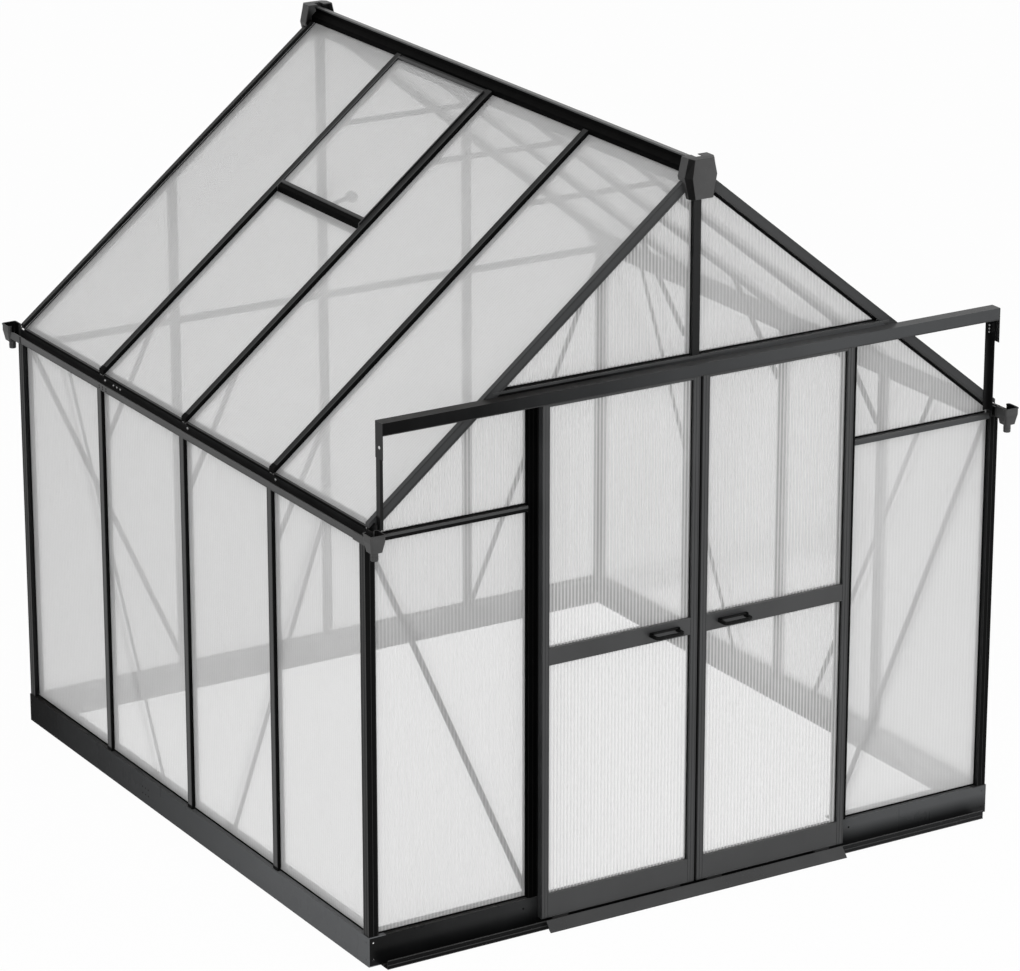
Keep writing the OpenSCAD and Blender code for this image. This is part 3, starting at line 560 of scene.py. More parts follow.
def lathe(bm, centre, axis, profile, sides):
    """Turns (distance along the axis, radius) pairs round the axis. The ends are closed."""
    axis = Vector(axis).normalized()
    across = axis.orthogonal().normalized()
    beside = axis.cross(across)
    rings = []
    for along, radius in profile:
        middle = Vector(centre) + axis * along
        rings.append([middle + radius * (math.cos(a) * across + math.sin(a) * beside)
                      for a in (2 * math.pi * k / sides for k in range(sides))])
    skin(bm, rings)


def bolt(bm, place, normal, radius=0.0045, height=0.0022):
    """A domed screw head with a washer and a driving recess."""
    lathe(bm, place, normal, [(-0.0015, radius * 1.35), (0.0005, radius * 1.35), (0.0005, radius),
                              (height * 0.7, radius * 0.92), (height, radius * 0.62),
                              (height, radius * 0.38), (height * 0.35, radius * 0.34)], 14)


def sweep(bm, path, section):
    """Sweeps a closed section, as (side, up) pairs, along a path of (point, side, up) frames."""
    skin(bm, [[point + a * side + b * up for a, b in section] for point, side, up in path])


def rounded_rectangle(width, height, radius, steps=4):
    points = []
    for cx, cy, start in ((1, 1, 0), (-1, 1, 90), (-1, -1, 180), (1, -1, 270)):
        for k in range(steps + 1):
            angle = math.radians(start + 90 * k / steps)
            points.append((cx * (width / 2 - radius) + radius * math.cos(angle),
                           cy * (height / 2 - radius) + radius * math.sin(angle)))
    return points


def add_with_cuts(out, bm, *cutters):
    """Adds bm to out, after each cutter has been taken away from it. All but out are used up."""
    obj = mesh_object("piece", bm)
    for cutter in [mesh_object("cutter", cutter) for cutter in cutters]:
        modifier = obj.modifiers.new("cut", "BOOLEAN")
        modifier.operation, modifier.solver, modifier.object = "DIFFERENCE", "EXACT", cutter
        depsgraph = bpy.context.evaluated_depsgraph_get()
        depsgraph.update()
        old, obj.data = obj.data, bpy.data.meshes.new_from_object(obj.evaluated_get(depsgraph))
        obj.modifiers.clear()
        bpy.data.meshes.remove(old)
        bpy.data.objects.remove(cutter)
    out.from_mesh(obj.data)
    bpy.data.objects.remove(obj)


# ---- seals along the sheets' edges ----

SEAL_W, SEAL_H = 0.0042, 0.0014


def seal_strips(bm, segments, place, foot_gap, side_gap, foot=True):
    """Strips on a sheet's outer face, set in from its outline."""
    ends = [point for segment in segments for point in segment]
    middle = Vector([sum(values) for values in zip(*ends)]) / len(ends)
    for a, b in segments:
        a, b = Vector(a), Vector(b)
        length = (b - a).length
        if length < 0.08:
            continue
        along = (b - a) / length
        inward = Vector((-along.y, along.x))
        if inward.dot(middle - a) < 0:
            inward = -inward
        low_edge, sloping = inward.y > 0.9, 0.3 < abs(along.y) < 0.9
        if inward.y < -0.9 or low_edge and not foot:
            continue
        gap = foot_gap if low_edge else 0.0002 if sloping else side_gap
        width = SEAL_W * (1.5 if low_edge else 2.2 if sloping else 1.0)
        start, end = a + along * side_gap, b - along * side_gap
        corners = [start + inward * gap, end + inward * gap,
                   end + inward * (gap + width), start + inward * (gap + width)]
        skin(bm, [[place(c.x, c.y, d) for c in corners] for d in (0.0, 1.0)])


def wall_seals(node, across, foot_gap, side_gap, both=False):
    depth = 1 - across
    bm = welded(node)
    out = bmesh.new()
    for group in islands(bm):
        low, high = (corner[depth] for corner in extent(group))
        segments = outline(group, across, 2, depth)
        sides = (1, -1) if both else ((1,) if low + high > 0 else (-1,))
        for side in sides:
            face = high if side > 0 else low
            place = wall_place(across, face - side * 0.0002, side * SEAL_H)
            seal_strips(out, segments, place, foot_gap, side_gap, not both)
    bm.free()
    make_object(node + "_seals", out, RUBBER, body=BODY_OF[node])


BAR_COVER, POST_BITE, GROOVE_BITE = 0.0098, 0.0072, 0.0046
for side in ("left", "right"):
    wall_seals(side + "_wall_sheets", 1, 0.0, BAR_COVER)
wall_seals("rear_wall_sheets", 0, 0.0, BAR_COVER)
for part in ("wall", "gable"):
    wall_seals(f"front_{part}_sheets", 0, 0.0, POST_BITE)
for side in ("left", "right"):
    wall_seals(side + "_door_sheets", 0, GROOVE_BITE, GROOVE_BITE, both=True)


def roof_seals(node):
    bm = welded(node)
    out = bmesh.new()
    for group in islands(bm):
        low, high = extent(group)
        xs, ys = (low.x, high.x), (low.y, high.y)
        tops = [max(v.co.z for f in group for v in f.verts if abs(v.co.x - x) < 1e-5) for x in xs]
        slope = Vector((xs[1] - xs[0], 0, tops[1] - tops[0])).normalized()
        up = Vector((-slope.z, 0, slope.x))
        for y, inward in ((ys[0], 1), (ys[1], -1)):
            near, far = y + inward * BAR_COVER, y + inward * (BAR_COVER + SEAL_W)
            start = Vector((xs[0], 0, tops[0])) - 0.0002 * up
            end = Vector((xs[1], 0, tops[1])) - 0.0002 * up
            quad = [Vector((start.x, near, start.z)), Vector((end.x, near, end.z)),
                    Vector((end.x, far, end.z)), Vector((start.x, far, start.z))]
            prism(out, quad, SEAL_H * up)
    bm.free()
    make_object(node + "_seals", out, RUBBER, body=BODY_OF[node])


roof_seals("left_roof_sheets")
roof_seals("right_roof_sheets")

# ---- bow handles ----


def bow_handle(node):
    low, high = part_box(node)
    width, height = 0.014, 0.0100
    z = low.z + height / 2
    x0, x1 = low.x + width / 2, high.x - width / 2
    back, front, bend = high.y, low.y + width / 2, 0.013
    points = [(x0, back)]
    for cx, start in ((x0 + bend, 180), (x1 - bend, 270)):
        for k in range(7):
            angle = math.radians(start + 15 * k)
            points.append((cx + bend * math.cos(angle), front + bend + bend * math.sin(angle)))
    points.append((x1, back))
    path = []
    for i, (x, y) in enumerate(points):
        before, after = points[max(0, i - 1)], points[min(len(points) - 1, i + 1)]
        along = Vector((after[0] - before[0], after[1] - before[1], 0)).normalized()
        path.append((Vector((x, y, z)), Vector((along.y, -along.x, 0)), Vector((0, 0, 1))))
    out = bmesh.new()
    sweep(out, path, rounded_rectangle(width, height, 0.0035))
    # the raised frame on the leaf: a bar above and a cheek at each end
    brick(out, (low.x, back - 0.009, high.z - 0.0072), (high.x, back, high.z), 0.0022)
    for x in (low.x, high.x - width):
        brick(out, (x, back - 0.009, low.z), (x + width, back, high.z), 0.0022)
    make_object(node + "_bow", out, DARK_PLASTIC, node)


for side in ("left", "right"):
    bow_handle(side + "_door_handle")

# ---- door wheels, guides and brushes ----


def wheels(node):
    bm = welded(node)
    out = bmesh.new()
    for group in islands(bm):
        low, high = extent(group)
        middle = (low + high) / 2
        if low.z > 1.0:
            radius = (high.z - low.z) / 2
            rim = high.y - 0.004
            lathe(out, (middle.x, rim, middle.z), (0, 1, 0),
                  [(0.0, radius * 0.55), (0.0, radius * 0.9), (0.0008, radius), (0.0014, radius * 0.9),
                   (0.0026, radius * 0.9), (0.0032, radius), (0.004, radius * 0.9), (0.004, radius * 0.4),
                   (0.0034, radius * 0.35)], 32)
            lathe(out, (middle.x, low.y, middle.z), (0, 1, 0),
                  [(0.0, 0.003), (rim - low.y + 0.0005, 0.003)], 16)
        else:
            brick(out, low, high, 0.0016)
            for offset in (-0.02, 0.02):
                lathe(out, (middle.x + offset, low.y + 0.0002, high.z - 0.01), (0, -1, 0),
                      [(0.0, 0.0030), (0.0006, 0.0028), (0.0008, 0.0018)], 12)
    bm.free()
    make_object(node + "_parts", out, PLASTIC, node)


for side in ("left", "right"):
    wheels(side + "_door_rollers")


def leaf_trim(side):
    """Pressed lips along the stiles and rails of a leaf, and the brush between the leaves."""
    node = side + "_door_frame"
    low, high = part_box(node)
    lips, brush = bmesh.new(), bmesh.new()
    stile, face, proud = 0.027, low.y, 0.0012
    for x in (low.x, high.x - stile):
        for near, width in ((0.0006, 0.0032), (0.0115, 0.0028), (0.0232, 0.0032)):
            brick(lips, (x + near, face - proud, low.z + 0.002),
                  (x + near + width, face + 0.0005, high.z - 0.002), 0.0005)
    meeting = high.x if side == "left" else low.x
    outwards = 1 if side == "left" else -1
    span_brick(brush, (meeting - outwards * 0.0004, meeting + outwards * 0.0038),
               (low.y + 0.009, low.y + 0.0155), (low.z + 0.004, high.z - 0.004), 0.001)
    for z0, z1 in ((low.z, low.z + 0.086), (0.934, 0.994), (high.z - 0.036, high.z)):
        for edge in (z0 + 0.0008, z1 - 0.0034):
            brick(lips, (low.x + stile, face - proud * 0.8, edge),
                  (high.x - stile, face + 0.0005, edge + 0.0026), 0.0005)
    make_object(side + "_door_lips", lips, LIT_PAINT, body=BODY_OF[node])
    make_object(side + "_door_brush", brush, RUBBER, body=BODY_OF[node])
    screws = bmesh.new()
    for x in (low.x + stile / 2, high.x - stile / 2):
        for z in (low.z + 0.043, 0.964, high.z - 0.018):
            bolt(screws, (x, high.y, z), (0, 1, 0), 0.0038, 0.0018)
    make_object(side + "_door_screws", screws, ZINC, body=BODY_OF[node])


for side in ("left", "right"):
    leaf_trim(side)

# ---- gutter outlets ----


def outlet_shell(bm, x, y, top):
    """A tapered open box with a rolled rim, and a spout below it. It is placed by its middle."""
    # (half width, height below the top, corner radius), down the outside and up the inside
    outer = [(0.0275, 0.0, 0.007), (0.029, -0.0012, 0.008), (0.029, -0.0045, 0.008), (0.0272, -0.006, 0.007),
             (0.0272, -0.025, 0.007), (0.0235, -0.044, 0.007), (0.0205, -0.061, 0.007), (0.0130, -0.0612, 0.0129),
             (0.0125, -0.063, 0.0124), (0.0125, -0.089, 0.0124), (0.0118, -0.091, 0.0117)]
    inner = [(0.0100, -0.091, 0.0099), (0.0100, -0.058, 0.0099), (0.0175, -0.0575, 0.006),
             (0.0212, -0.043, 0.006), (0.0244, -0.026, 0.006), (0.0244, -0.001, 0.006)]
    rings = [[bm.verts.new((x + a, y + b, top + dz))
              for a, b in rounded_rectangle(2 * half, 2 * half, radius, 5)]
             for half, dz, radius in outer + inner]
    count = len(rings[0])
    for i, (low, high) in enumerate(zip(rings, rings[1:] + rings[:1])):
        for k in range(count):
            m = (k + 1) % count
            face = bm.faces.new((low[k], low[m], high[m], high[k]))
            # the inside takes the darker copy of the plastic: painted shade in the hollow
            face.material_index = int(len(outer) <= i < len(rings) - 1)


GUTTER_BACK, GUTTER_FRONT, GUTTER_OUT, GUTTER_WALL_TOP, GUTTER_FLOOR = 1.229, 1.259, 1.262, 1.4985, 1.476


def outlets(side):
    node = side + "_gutter_outlets"
    low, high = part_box(node)
    sign = 1 if side == "right" else -1
    x = sign * (max(abs(low.x), abs(high.x)) - 0.029)
    out = bmesh.new()
    for end in (-1, 1):
        y = end * (high.y - 0.029)
        bm, channel = bmesh.new(), bmesh.new()
        outlet_shell(bm, x, y, high.z)
        span_brick(channel, (GUTTER_BACK, GUTTER_FRONT), (y, y - end * 0.04), (1.479, high.z + 0.01), 0.0, sign)
        add_with_cuts(out, bm, channel)
    reach = high.y - 0.058 + 0.001 + 0.002
    for end in (-1, 1):
        # a neck round the gutter's end
        for xs, y0, z0, z1 in (((1.262, 1.2645), 1.217, 1.4735, GUTTER_WALL_TOP + 0.002),
                               ((1.248, 1.262), 1.217, 1.4735, 1.476),
                               ((1.2235, 1.262), 1.267, 1.4735, 1.476),
                               ((1.2235, 1.226), 1.277, 1.4735, 1.509)):
            span_brick(out, xs, (y0, reach), (z0, z1), 0.0006, sign, end)
        # the clip that stands up over the gutter's inner wall, and a rib round the spout
        prism(out, [(sign * 1.2235, end * 1.278, 1.509), (sign * 1.2235, end * 1.288, 1.517),
                    (sign * 1.2235, end * 1.291, 1.509)], (sign * 0.0025, 0, 0))
        lathe(out, (x, end * (high.y - 0.029), 1.4410), (0, 0, 1),
              [(0.0, 0.0122), (0.0008, 0.0132), (0.0022, 0.0132), (0.003, 0.0122)], 28)
    make_object(node + "_moulded", out, PLASTIC, node).data.materials.append(DARK_PLASTIC)


for side in ("left", "right"):
    outlets(side)

# ---- ridge end caps and the vent's stay ----


def hexagon(top, waist, bottom, z_top, z_waist, z_bottom):
    return [(-top, z_top), (top, z_top), (waist, z_waist), (bottom, z_bottom), (-bottom, z_bottom),
            (-waist, z_waist)]


PITCH, EAVE, HALF_WIDTH, BASE_TOP = math.radians(39), 1.476, 1.25, 0.104


def roof_height(s, p):
    """The height at a distance s from the ridge's plane, p above the rafters' upper face."""
    return EAVE + (HALF_WIDTH - s) * math.tan(PITCH) + p / math.cos(PITCH)


def lofted_cap(bm, stations):
    """Joins hexagons at several distances along y."""
    skin(bm, [[(x, y, z) for x, z in points] for y, points in stations])


def ridge_cap():
    low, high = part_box("ridge_caps")
    top, bottom, waist = high.z, low.z, roof_height(0, 0) + 0.011
    face, front = 1.264, high.y
    outer, inner, under, slot, both = (bmesh.new() for _ in range(5))
    lofted_cap(outer, [(face - 0.025, hexagon(0.049, 0.064, 0.046, top, waist, bottom)),
                       (front - 0.023, hexagon(0.049, 0.064, 0.046, top, waist, bottom)),
                       (front, hexagon(0.037, 0.0455, 0.034, top - 0.002, waist, bottom + 0.003))])
    bmesh.ops.recalc_face_normals(outer, faces=outer.faces)
    bmesh.ops.bevel(outer, geom=outer.edges[:], offset=0.0016, segments=2, affect="EDGES", profile=0.5)
    wall = 0.003
    lofted_cap(inner, [(face - 0.03, hexagon(0.046, 0.0605, 0.043, top - wall, waist, bottom + wall)),
                       (front - 0.024, hexagon(0.046, 0.0605, 0.043, top - wall, waist, bottom + wall)),
                       (front - wall, hexagon(0.034, 0.0420, 0.031, top - 0.005, waist, bottom + 0.006))])
    edge = 0.13
    shape = ((-edge, 0), (edge, 0), (edge, roof_height(edge, 0.0375)), (0, roof_height(0, 0.0375)),
             (-edge, roof_height(edge, 0.0375)))
    prism(under, [(x, face - 0.04, z) for x, z in shape], (0, 0.0405, 0))
    brick(slot, (-0.0135, face - 0.05, top - 0.03), (0.0135, face + 0.006, top + 0.01))
    add_with_cuts(both, outer, inner, under, slot)
    for face in both.faces:
        # the slanting sides get the darker, less glossy copy of the plastic: painted shade
        if abs(face.normal.x) > 0.4 and face.normal.y > 0.4:
            face.material_index = 1
    copy = bmesh.ops.duplicate(both, geom=both.verts[:] + both.edges[:] + both.faces[:])["geom"]
    bmesh.ops.scale(both, vec=(1, -1, 1), verts=[g for g in copy if isinstance(g, bmesh.types.BMVert)])
    make_object("ridge_caps_moulded", both, PLASTIC, "ridge_caps").data.materials.append(DARK_PLASTIC)


ridge_cap()


def vent_stay():
    """A flat stay with a lobed knob at its end."""
    low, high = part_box("roof_vent_stay")
    out = bmesh.new()
    knob_x, knob_y, knob_z = high.x - 0.020, (low.y + high.y) / 2, high.z - 0.020
    lobes, sides, rings = 7, 70, []
    for along, scale in ((-0.015, 0.80), (-0.013, 0.96), (-0.004, 1.0), (0.004, 1.0), (0.013, 0.96), (0.015, 0.80)):
        ring = []
        for k in range(sides):
            angle = 2 * math.pi * k / sides
            radius = 0.020 * scale * (0.93 + 0.07 * math.cos(lobes * angle))
            ring.append((knob_x + radius * math.cos(angle), knob_y + along, knob_z + radius * math.sin(angle)))
        rings.append(ring)
    skin(out, rings)
    # the arm, as a shallow channel
    start, end = Vector((low.x + 0.0005, 0, low.z + 0.0045)), Vector((knob_x, 0, knob_z))
    across = Vector((0, 1, 0))
    along = (end - start).normalized()
    up = along.cross(across)
    section = [(-0.009, -0.0042), (0.009, -0.0042), (0.009, 0.0042), (0.0066, 0.0042),
               (0.0066, -0.0018), (-0.0066, -0.0018), (-0.0066, 0.0042), (-0.009, 0.0042)]
    sweep(out, [(Vector((p.x, knob_y, p.z)), across, up) for p in (start, end)], section)
    make_object("roof_vent_stay_parts", out, PLASTIC, "roof_vent_stay")


vent_stay()

# ---- pressed lines, end plugs and feet on the frame ----

STUDS, REAR_STUDS = (-0.6215, 0.0, 0.6215), (-0.622, 0.0, 0.622)
CAP_LIPS, LIP = (-0.0135, 0.0105), 0.003
# the height of the black rubber foot under each stud's cap: painted shade
FOOT_SHADE = (BASE_TOP - 0.0002, BASE_TOP + 0.012)
CAP_HEIGHT = (BASE_TOP + 0.012, EAVE - 0.002)
POST_HEIGHT = (BASE_TOP + 0.001, EAVE - 0.002)
JAMB_HEIGHT = (BASE_TOP + 0.001, 1.858)


def slope_bar(bm, sign, s0, s1, p0, p1, y, width):
    """A bar along the slope, from s0 to s1 off the ridge and p0 to p1 above the rafters."""
    prism(bm, [(sign * s, y, roof_height(s, p)) for s, p in ((s0, p0), (s1, p0), (s1, p1), (s0, p1))],
          (0, width, 0))


trim, rubber_bits = bmesh.new(), bmesh.new()
for sign in (-1, 1):
    for y in STUDS:
        # two lips on each side stud's cap, its black rubber foot, a painted shade under the cap, and the
        # wedge seals along both its sides
        for near in CAP_LIPS:
            span_brick(trim, (1.2432, 1.2446), (y + near, y + near + LIP), CAP_HEIGHT, 0.0005, sign)
        span_brick(rubber_bits, (1.2320, 1.2450), (y - 0.0157, y + 0.0157), FOOT_SHADE, 0.001, sign)
        for side in (-1, 1):
            span_brick(rubber_bits, (1.2318, 1.2428), (y + side * 0.0148, y + side * 0.0166), CAP_HEIGHT,
                       0.0005, sign)
    for end in (-1, 1):
        # lips on both faces of the corner posts, and a black rubber strip along the end face: painted shade
        # on the post's end face
        for near in (0.0008, 0.0162, 0.0322):
            span_brick(trim, (1.2468, 1.2478), (1.264 - near, 1.264 - near - LIP), POST_HEIGHT, 0.0004, sign, end)
            if near > 0.01:
                span_brick(trim, (1.247 - near, 1.247 - near - 0.0015), (1.2638, 1.2656), POST_HEIGHT,
                           0.0004, sign, end)
        span_brick(rubber_bits, (1.2455, 1.2125), (1.2636, 1.2651), POST_HEIGHT, 0.0005, sign, end)
for x in REAR_STUDS:
    for near in CAP_LIPS:
        span_brick(trim, (x + near, x + near + LIP), (1.2602, 1.2616), (CAP_HEIGHT[0], EAVE + 0.4), 0.0005)
    # a black rubber foot under the cap: painted shade
    span_brick(rubber_bits, (x - 0.0157, x + 0.0157), (1.249, 1.262), FOOT_SHADE, 0.001)
for sign in (-1, 1):
    # lips and a brush on each door jamb
    for near in (0.604, 0.6206, 0.6366):
        span_brick(rubber_bits, (near, near + LIP), (-1.2649, -1.2637), (JAMB_HEIGHT[0], 1.83), 0.0004, sign)
    span_brick(rubber_bits, (0.5980, 0.6050), (-1.2655, -1.2600), JAMB_HEIGHT, 0.0008, sign)
# the seal between the right jamb and its pane
span_brick(rubber_bits, (0.6360, 0.6460), (-1.2665, -1.2620), JAMB_HEIGHT, 0.0008)
# lips on the door track and the ramp, and the rail's rolled lower edge
for x, ys, zs, bevel in ((1.2055, (-1.3142, -1.3127), (0.0125, 0.0155), 0.0005),
                         (1.2055, (-1.3145, -1.3100), (0.0288, 0.0316), 0.0008),
                         (1.2055, (-1.2860, -1.2835), (0.0019, 0.0075), 0.0006),
                         (1.2055, (-1.3145, -1.3127), (0.0002, 0.0032), 0.0005),
                         (1.2035, (-1.3112, -1.3097), (1.8322, 1.8352), 0.0005)):
    span_brick(trim, (-x, x), ys, zs, bevel)
for sign in (-1, 1):
    for end in (-1, 1):
        # two lines along each gable rafter's outer face
        for p in (0.004, 0.028):
            slope_bar(trim, sign, 0.064, 1.205, p, p + LIP, end * 1.2638, end * 0.0011)
    for y in STUDS:
        # two lips along each roof bar's cap, the wedge seals at its sides, and its black foot piece
        for near in CAP_LIPS:
            quad = [(sign * s, y + near + d, roof_height(s, 0.0328))
                    for s, d in ((0.052, 0), (1.226, 0), (1.226, LIP), (0.052, LIP))]
            prism(trim, quad, (sign * 0.0009 * math.sin(PITCH), 0, 0.0009 * math.cos(PITCH)))
        for side in (-1, 1):
            slope_bar(rubber_bits, sign, 0.052, 1.226, 0.0208, 0.0315, y + side * 0.0148, side * 0.0018)
        slope_bar(rubber_bits, sign, 1.2200, 1.2330, 0.0208, 0.0338, y - 0.0156, 0.0312)
make_object("bar_ends", rubber_bits, RUBBER)
# the lips wear the plain coat, paler and glossier than the coats of the posts, roof bars, rail and track: painted
# highlight lines along those
make_object("frame_lips", trim, PAINT)

# ---- gutters and ridge as rolled sections ----


def trimmed_copy(node, cuts):
    """A copy of a node's solids with boxes cut away, as a new bmesh."""
    out, cutter = bmesh.new(), bmesh.new()
    for low, high in cuts:
        brick(cutter, low, high)
    add_with_cuts(out, welded(node), cutter)
    return out


def gutter(side):
    node = side + "_gutter"
    sign = 1 if side == "right" else -1
    low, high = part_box(node)
    cut = sorted((sign * (GUTTER_FRONT - 0.001), sign * (GUTTER_OUT + 0.001)))
    out = trimmed_copy(node, [((cut[0], low.y - 1, GUTTER_WALL_TOP), (cut[1], high.y + 1, high.z + 1))])
    # the wall's rolled edge, and a bead along its face
    ys = (low.y + 0.001, high.y - 0.001)
    span_brick(out, (GUTTER_FRONT - 0.0012, GUTTER_OUT + 0.0006), ys,
               (GUTTER_WALL_TOP - 0.0004, GUTTER_WALL_TOP + 0.0016), 0.0009, sign)
    span_brick(out, (GUTTER_OUT - 0.0004, GUTTER_OUT + 0.0006), ys,
               (GUTTER_FLOOR + 0.0005, GUTTER_FLOOR + 0.003), 0.0004, sign)
    make_object(node + "_rolled", out, GUTTER_PAINT, node)


for side in ("left", "right"):
    gutter(side)


def threshold():
    """The front base, whose upper flange is only a lip in the doorway."""
    low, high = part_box("base_front")
    cuts = [((-0.6035, low.y + 0.012, high.z - 0.02), (0.6035, high.y + 0.01, high.z + 0.01))]
    out = trimmed_copy("base_front", cuts)
    make_object("base_front_folded", out, FRONT_BASE_PAINT, "base_front")


threshold()

RIDGE_EDGE, RIDGE_CAD_EDGE = 0.0235, 0.035
CAP_LOW, CAP_HIGH = 0.021, 0.032


def slope_strip(bm, sign, s0, s1, p0, p1, y0, y1):
    slope_bar(bm, sign, s0, s1, p0, p1, y0, y1 - y0)


def ridge():
    low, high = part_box("ridge_beam")
    flange_low, flange_high = roof_height(RIDGE_CAD_EDGE, 0), roof_height(RIDGE_EDGE, 0.06)
    cuts = [((x0, low.y - 1, flange_low), (x1, high.y + 1, flange_high))
            for x0, x1 in ((-1, -RIDGE_EDGE), (RIDGE_EDGE, 1))]
    out = trimmed_copy("ridge_beam", cuts)
    for sign in (-1, 1):
        # the lip that presses on the sheets' heads
        slope_strip(out, sign, RIDGE_EDGE - 0.003, RIDGE_EDGE, CAP_LOW + 0.0006, CAP_HIGH + 0.002,
                    low.y + 0.001, high.y - 0.001)
    # the beam wears the shaded coat: painted shade on its sides
    make_object("ridge_beam_rolled", out, SHADED_PAINT, "ridge_beam")
    heads, fin = bmesh.new(), bmesh.new()
    for sign in (-1, 1):
        for y in STUDS:
            slope_strip(heads, sign, RIDGE_EDGE + 0.0003, RIDGE_CAD_EDGE + 0.0005, CAP_LOW, CAP_HIGH,
                        y - 0.015, y + 0.015)
    vent_low, vent_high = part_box("roof_vent_frame")
    slope_strip(heads, -1, RIDGE_EDGE + 0.0003, RIDGE_CAD_EDGE + 0.0015, CAP_LOW, CAP_HIGH - 0.002,
                vent_low.y, vent_high.y)
    make_object("bar_heads", heads, BAR_PAINT)
    # a fin along the top in the paler coat: a painted highlight line along the ridge
    brick(fin, (-0.0092, low.y + 0.001, high.z - 0.0052), (0.0092, high.y - 0.001, high.z + 0.0008), 0.0012)
    make_object("ridge_lines", fin, LIT_PAINT)


ridge()

# ---- covers along the feet of the roof sheets ----


def sheet_feet():
    cover, seal = bmesh.new(), bmesh.new()
    edges = [-1.2438] + [y + d for y in STUDS for d in (-0.0162, 0.0162)] + [1.2438]
    for sign in (-1, 1):
        for y0, y1 in zip(edges[::2], edges[1::2]):
            slope_strip(cover, sign, 1.2280, 1.2318, CAP_LOW + 0.0001, CAP_LOW + 0.0019, y0, y1)
            span_brick(seal, (1.2304, 1.2316), (y0, y1), (1.5095, roof_height(1.2318, CAP_LOW)), 0.0003, sign)
    make_object("sheet_foot_covers", cover, PAINT)
    make_object("sheet_foot_seals", seal, RUBBER)


sheet_feet()


def vent_frame():
    """Slim bars round the vent's sheet, and a wide grooved bar at its foot."""
    low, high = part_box("roof_vent_frame")
    near, far = -high.x, -low.x
    p0, p1, slim, wide = 0.022, 0.038, 0.0060, 0.022
    out, groove = bmesh.new(), bmesh.new()
    slope_strip(out, -1, near, far, p0, p1, low.y, low.y + slim)
    slope_strip(out, -1, near, far, p0, p1, high.y - slim, high.y)
    slope_strip(out, -1, near, near + slim, p0, p1, low.y + slim, high.y - slim)
    inner, outer = far - 0.014, far - 0.007
    slope_strip(out, -1, far - wide, inner, p0, p1, low.y + slim, high.y - slim)
    # the groove and the outer strip wear the shaded coat: painted shade at the vent's foot
    slope_strip(groove, -1, inner, outer, p0, p1 - 0.003, low.y + slim, high.y - slim)
    slope_strip(groove, -1, outer, far, p0, p1, low.y + slim, high.y - slim)
    make_object("roof_vent_frame_slim", out, PAINT, "roof_vent_frame")
    make_object("roof_vent_groove", groove, SHADED_PAINT, body=BODY_OF["roof_vent_frame"])


vent_frame()


def lit_bar_tops():
    """Strips of the paler coat over the tops of the short eave rails and the sill bar: a painted highlight on their
    tops.
    """
    tops = bmesh.new()
    for node in ("front_eave_rails", "front_gable_sill"):
        bm = welded(node)
        for group in islands(bm):
            low, high = extent(group)
            brick(tops, (low.x + 0.001, low.y - 0.0010, high.z - 0.0085),
                  (high.x - 0.001, low.y + 0.006, high.z + 0.0004), 0.0006)
        bm.free()
    make_object("lit_bar_tops", tops, LIT_PAINT)


lit_bar_tops()

# ---- screws ----

screws, holes = bmesh.new(), bmesh.new()
for sign in (-1, 1):
    for y in STUDS:
        # gutter screws over each stud, nuts at its foot and head inside
        bolt(screws, (sign * 1.229, y - 0.02, 1.4975), (sign, 0, 0), 0.0042)
        for z in (0.125, 1.43):
            bolt(screws, (sign * 1.211, y, z), (-sign, 0, 0), 0.005)
    for k in range(3):
        # the splice near the first stud from the rear: screws in the channel, holes in its wall
        bolt(screws, (sign * 1.229, STUDS[2] - 0.085 - 0.026 * k, 1.4965), (sign, 0, 0), 0.0036)
        for z in (1.484, 1.492):
            lathe(holes, (sign * 1.2618, STUDS[2] - 0.04 - 0.026 * k, z), (sign, 0, 0),
                  [(0.0, 0.003), (0.0005, 0.003), (0.0006, 0.0018)], 12)
            lathe(holes, (sign * 1.2497, 0.31 + 0.022 * k, 0.036 + 3 * (z - 1.484)), (sign, 0, 0),
                  [(0.0, 0.003), (0.0006, 0.003), (0.0008, 0.0018)], 12)
    for z in (1.800, 1.812, 1.824):
        bolt(screws, (sign * 1.195, -1.266, z - 0.02), (0, -1, 0), 0.0028, 0.0014)
    bolt(screws, (sign * 1.2055, -1.290, 1.79), (sign, 0, 0), 0.0042)
    bolt(screws, (sign * 0.622, -1.228, 0.14), (0, 1, 0), 0.005)
    lathe(holes, (sign * 0.66, -1.2668, 0.072), (0, -1, 0),
          [(0.0, 0.0035), (0.0007, 0.0035), (0.0009, 0.002)], 16)
for x in REAR_STUDS:
    bolt(screws, (x, 1.228, 0.125), (0, -1, 0), 0.005)
make_object("screws", screws, ZINC)
# the holes are dark rubber discs on the surface: painted shade in the holes
make_object("punched_holes", holes, RUBBER)

# ---- floor, light and background ----


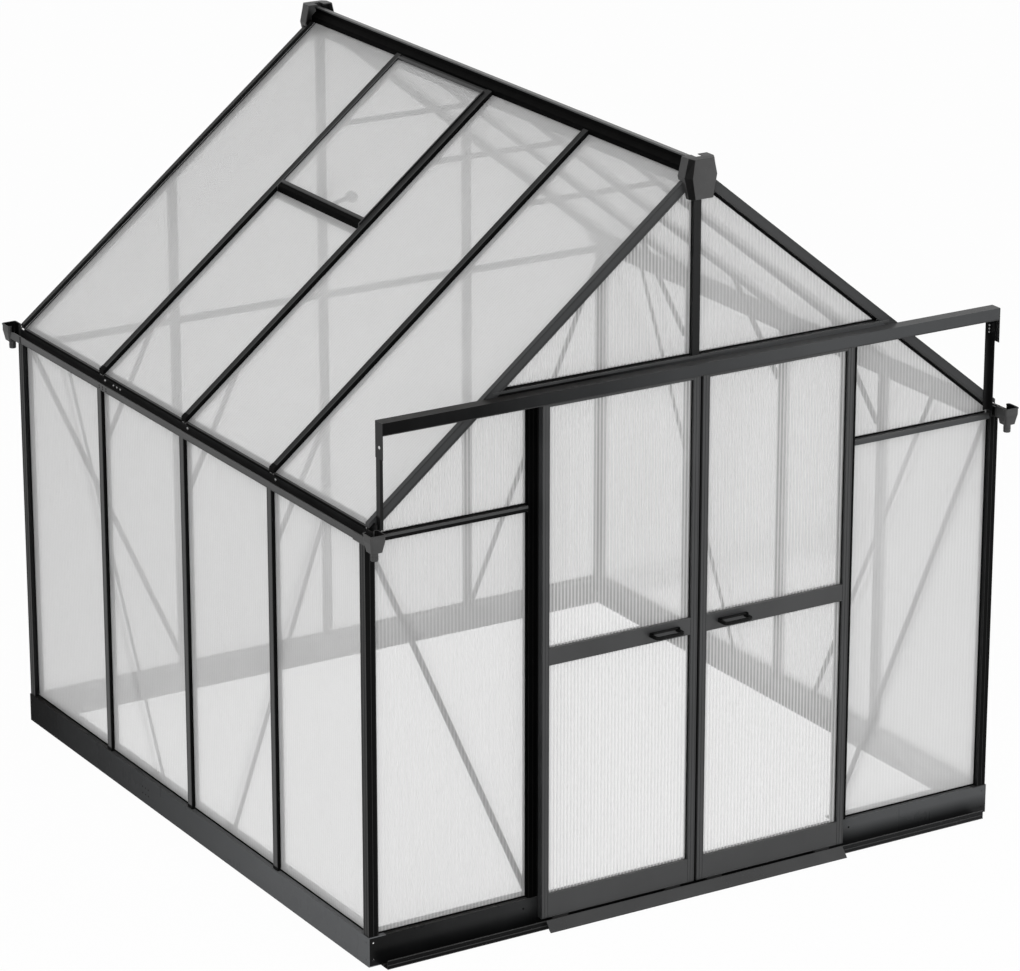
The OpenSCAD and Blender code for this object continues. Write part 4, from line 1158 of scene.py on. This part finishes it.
def seen_directly(g):
    """1 for camera, glossy and transmission rays, and 0 for all others."""
    rays = g.add("ShaderNodeLightPath").outputs
    return g.math("MAXIMUM", g.math("MAXIMUM", rays["Is Camera Ray"], rays["Is Glossy Ray"]),
                  rays["Is Transmission Ray"])


def make_floor():
    bm = bmesh.new()
    bmesh.ops.create_grid(bm, x_segments=1, y_segments=1, size=60.0)
    mesh = bpy.data.meshes.new("floor")
    bm.to_mesh(mesh)
    bm.free()
    floor = add_object("floor", mesh)
    floor.location.z = -0.0006
    g = Graph("floor")
    tone = g.blend(g.noise(0.7, 2.0), grey(0.80), grey(0.82))
    matt = g.add("ShaderNodeBsdfDiffuse", {"Color": tone}).outputs[0]
    glow = g.add("ShaderNodeEmission", {"Color": (1, 1, 1, 1), "Strength": 1.0}).outputs[0]
    mesh.materials.append(g.finish(g.mix_shader(g.math("MULTIPLY", seen_directly(g), 0.97), matt, glow)))


def make_world():
    g = Graph("studio", "World")
    bpy.context.scene.world = g.owner
    light, white = (g.add("ShaderNodeBackground", {0: (1, 1, 1, 1), 1: strength}).outputs[0]
                    for strength in (0.55, 1.0))
    g.finish(g.mix_shader(seen_directly(g), light, white))


def area_light(name, place, aim, size, power):
    data = bpy.data.lights.new(name, "AREA")
    data.shape = "RECTANGLE"
    data.size, data.size_y = size
    data.energy = power
    lamp = add_object(name, data)
    lamp.location = place
    lamp.rotation_euler = (Vector(aim) - Vector(place)).to_track_quat("-Z", "Y").to_euler()


make_floor()
make_world()
area_light("key", (-5.2, -5.6, 3.4), (-0.7, -0.6, 0.9), (3.5, 3.0), 232)
area_light("fill", (4.6, -6.0, 2.6), (0.8, -1.0, 0.8), (4.0, 3.0), 172)

scene = bpy.context.scene
scene.view_settings.view_transform = "Standard"
scene.cycles.transparent_max_bounces = 64
scene.cycles.debug_use_spatial_splits = True
scene.cycles.max_bounces = 7
scene.cycles.diffuse_bounces = 3
scene.cycles.glossy_bounces = 3

# ---- last scene update ----

bpy.context.view_layer.update()
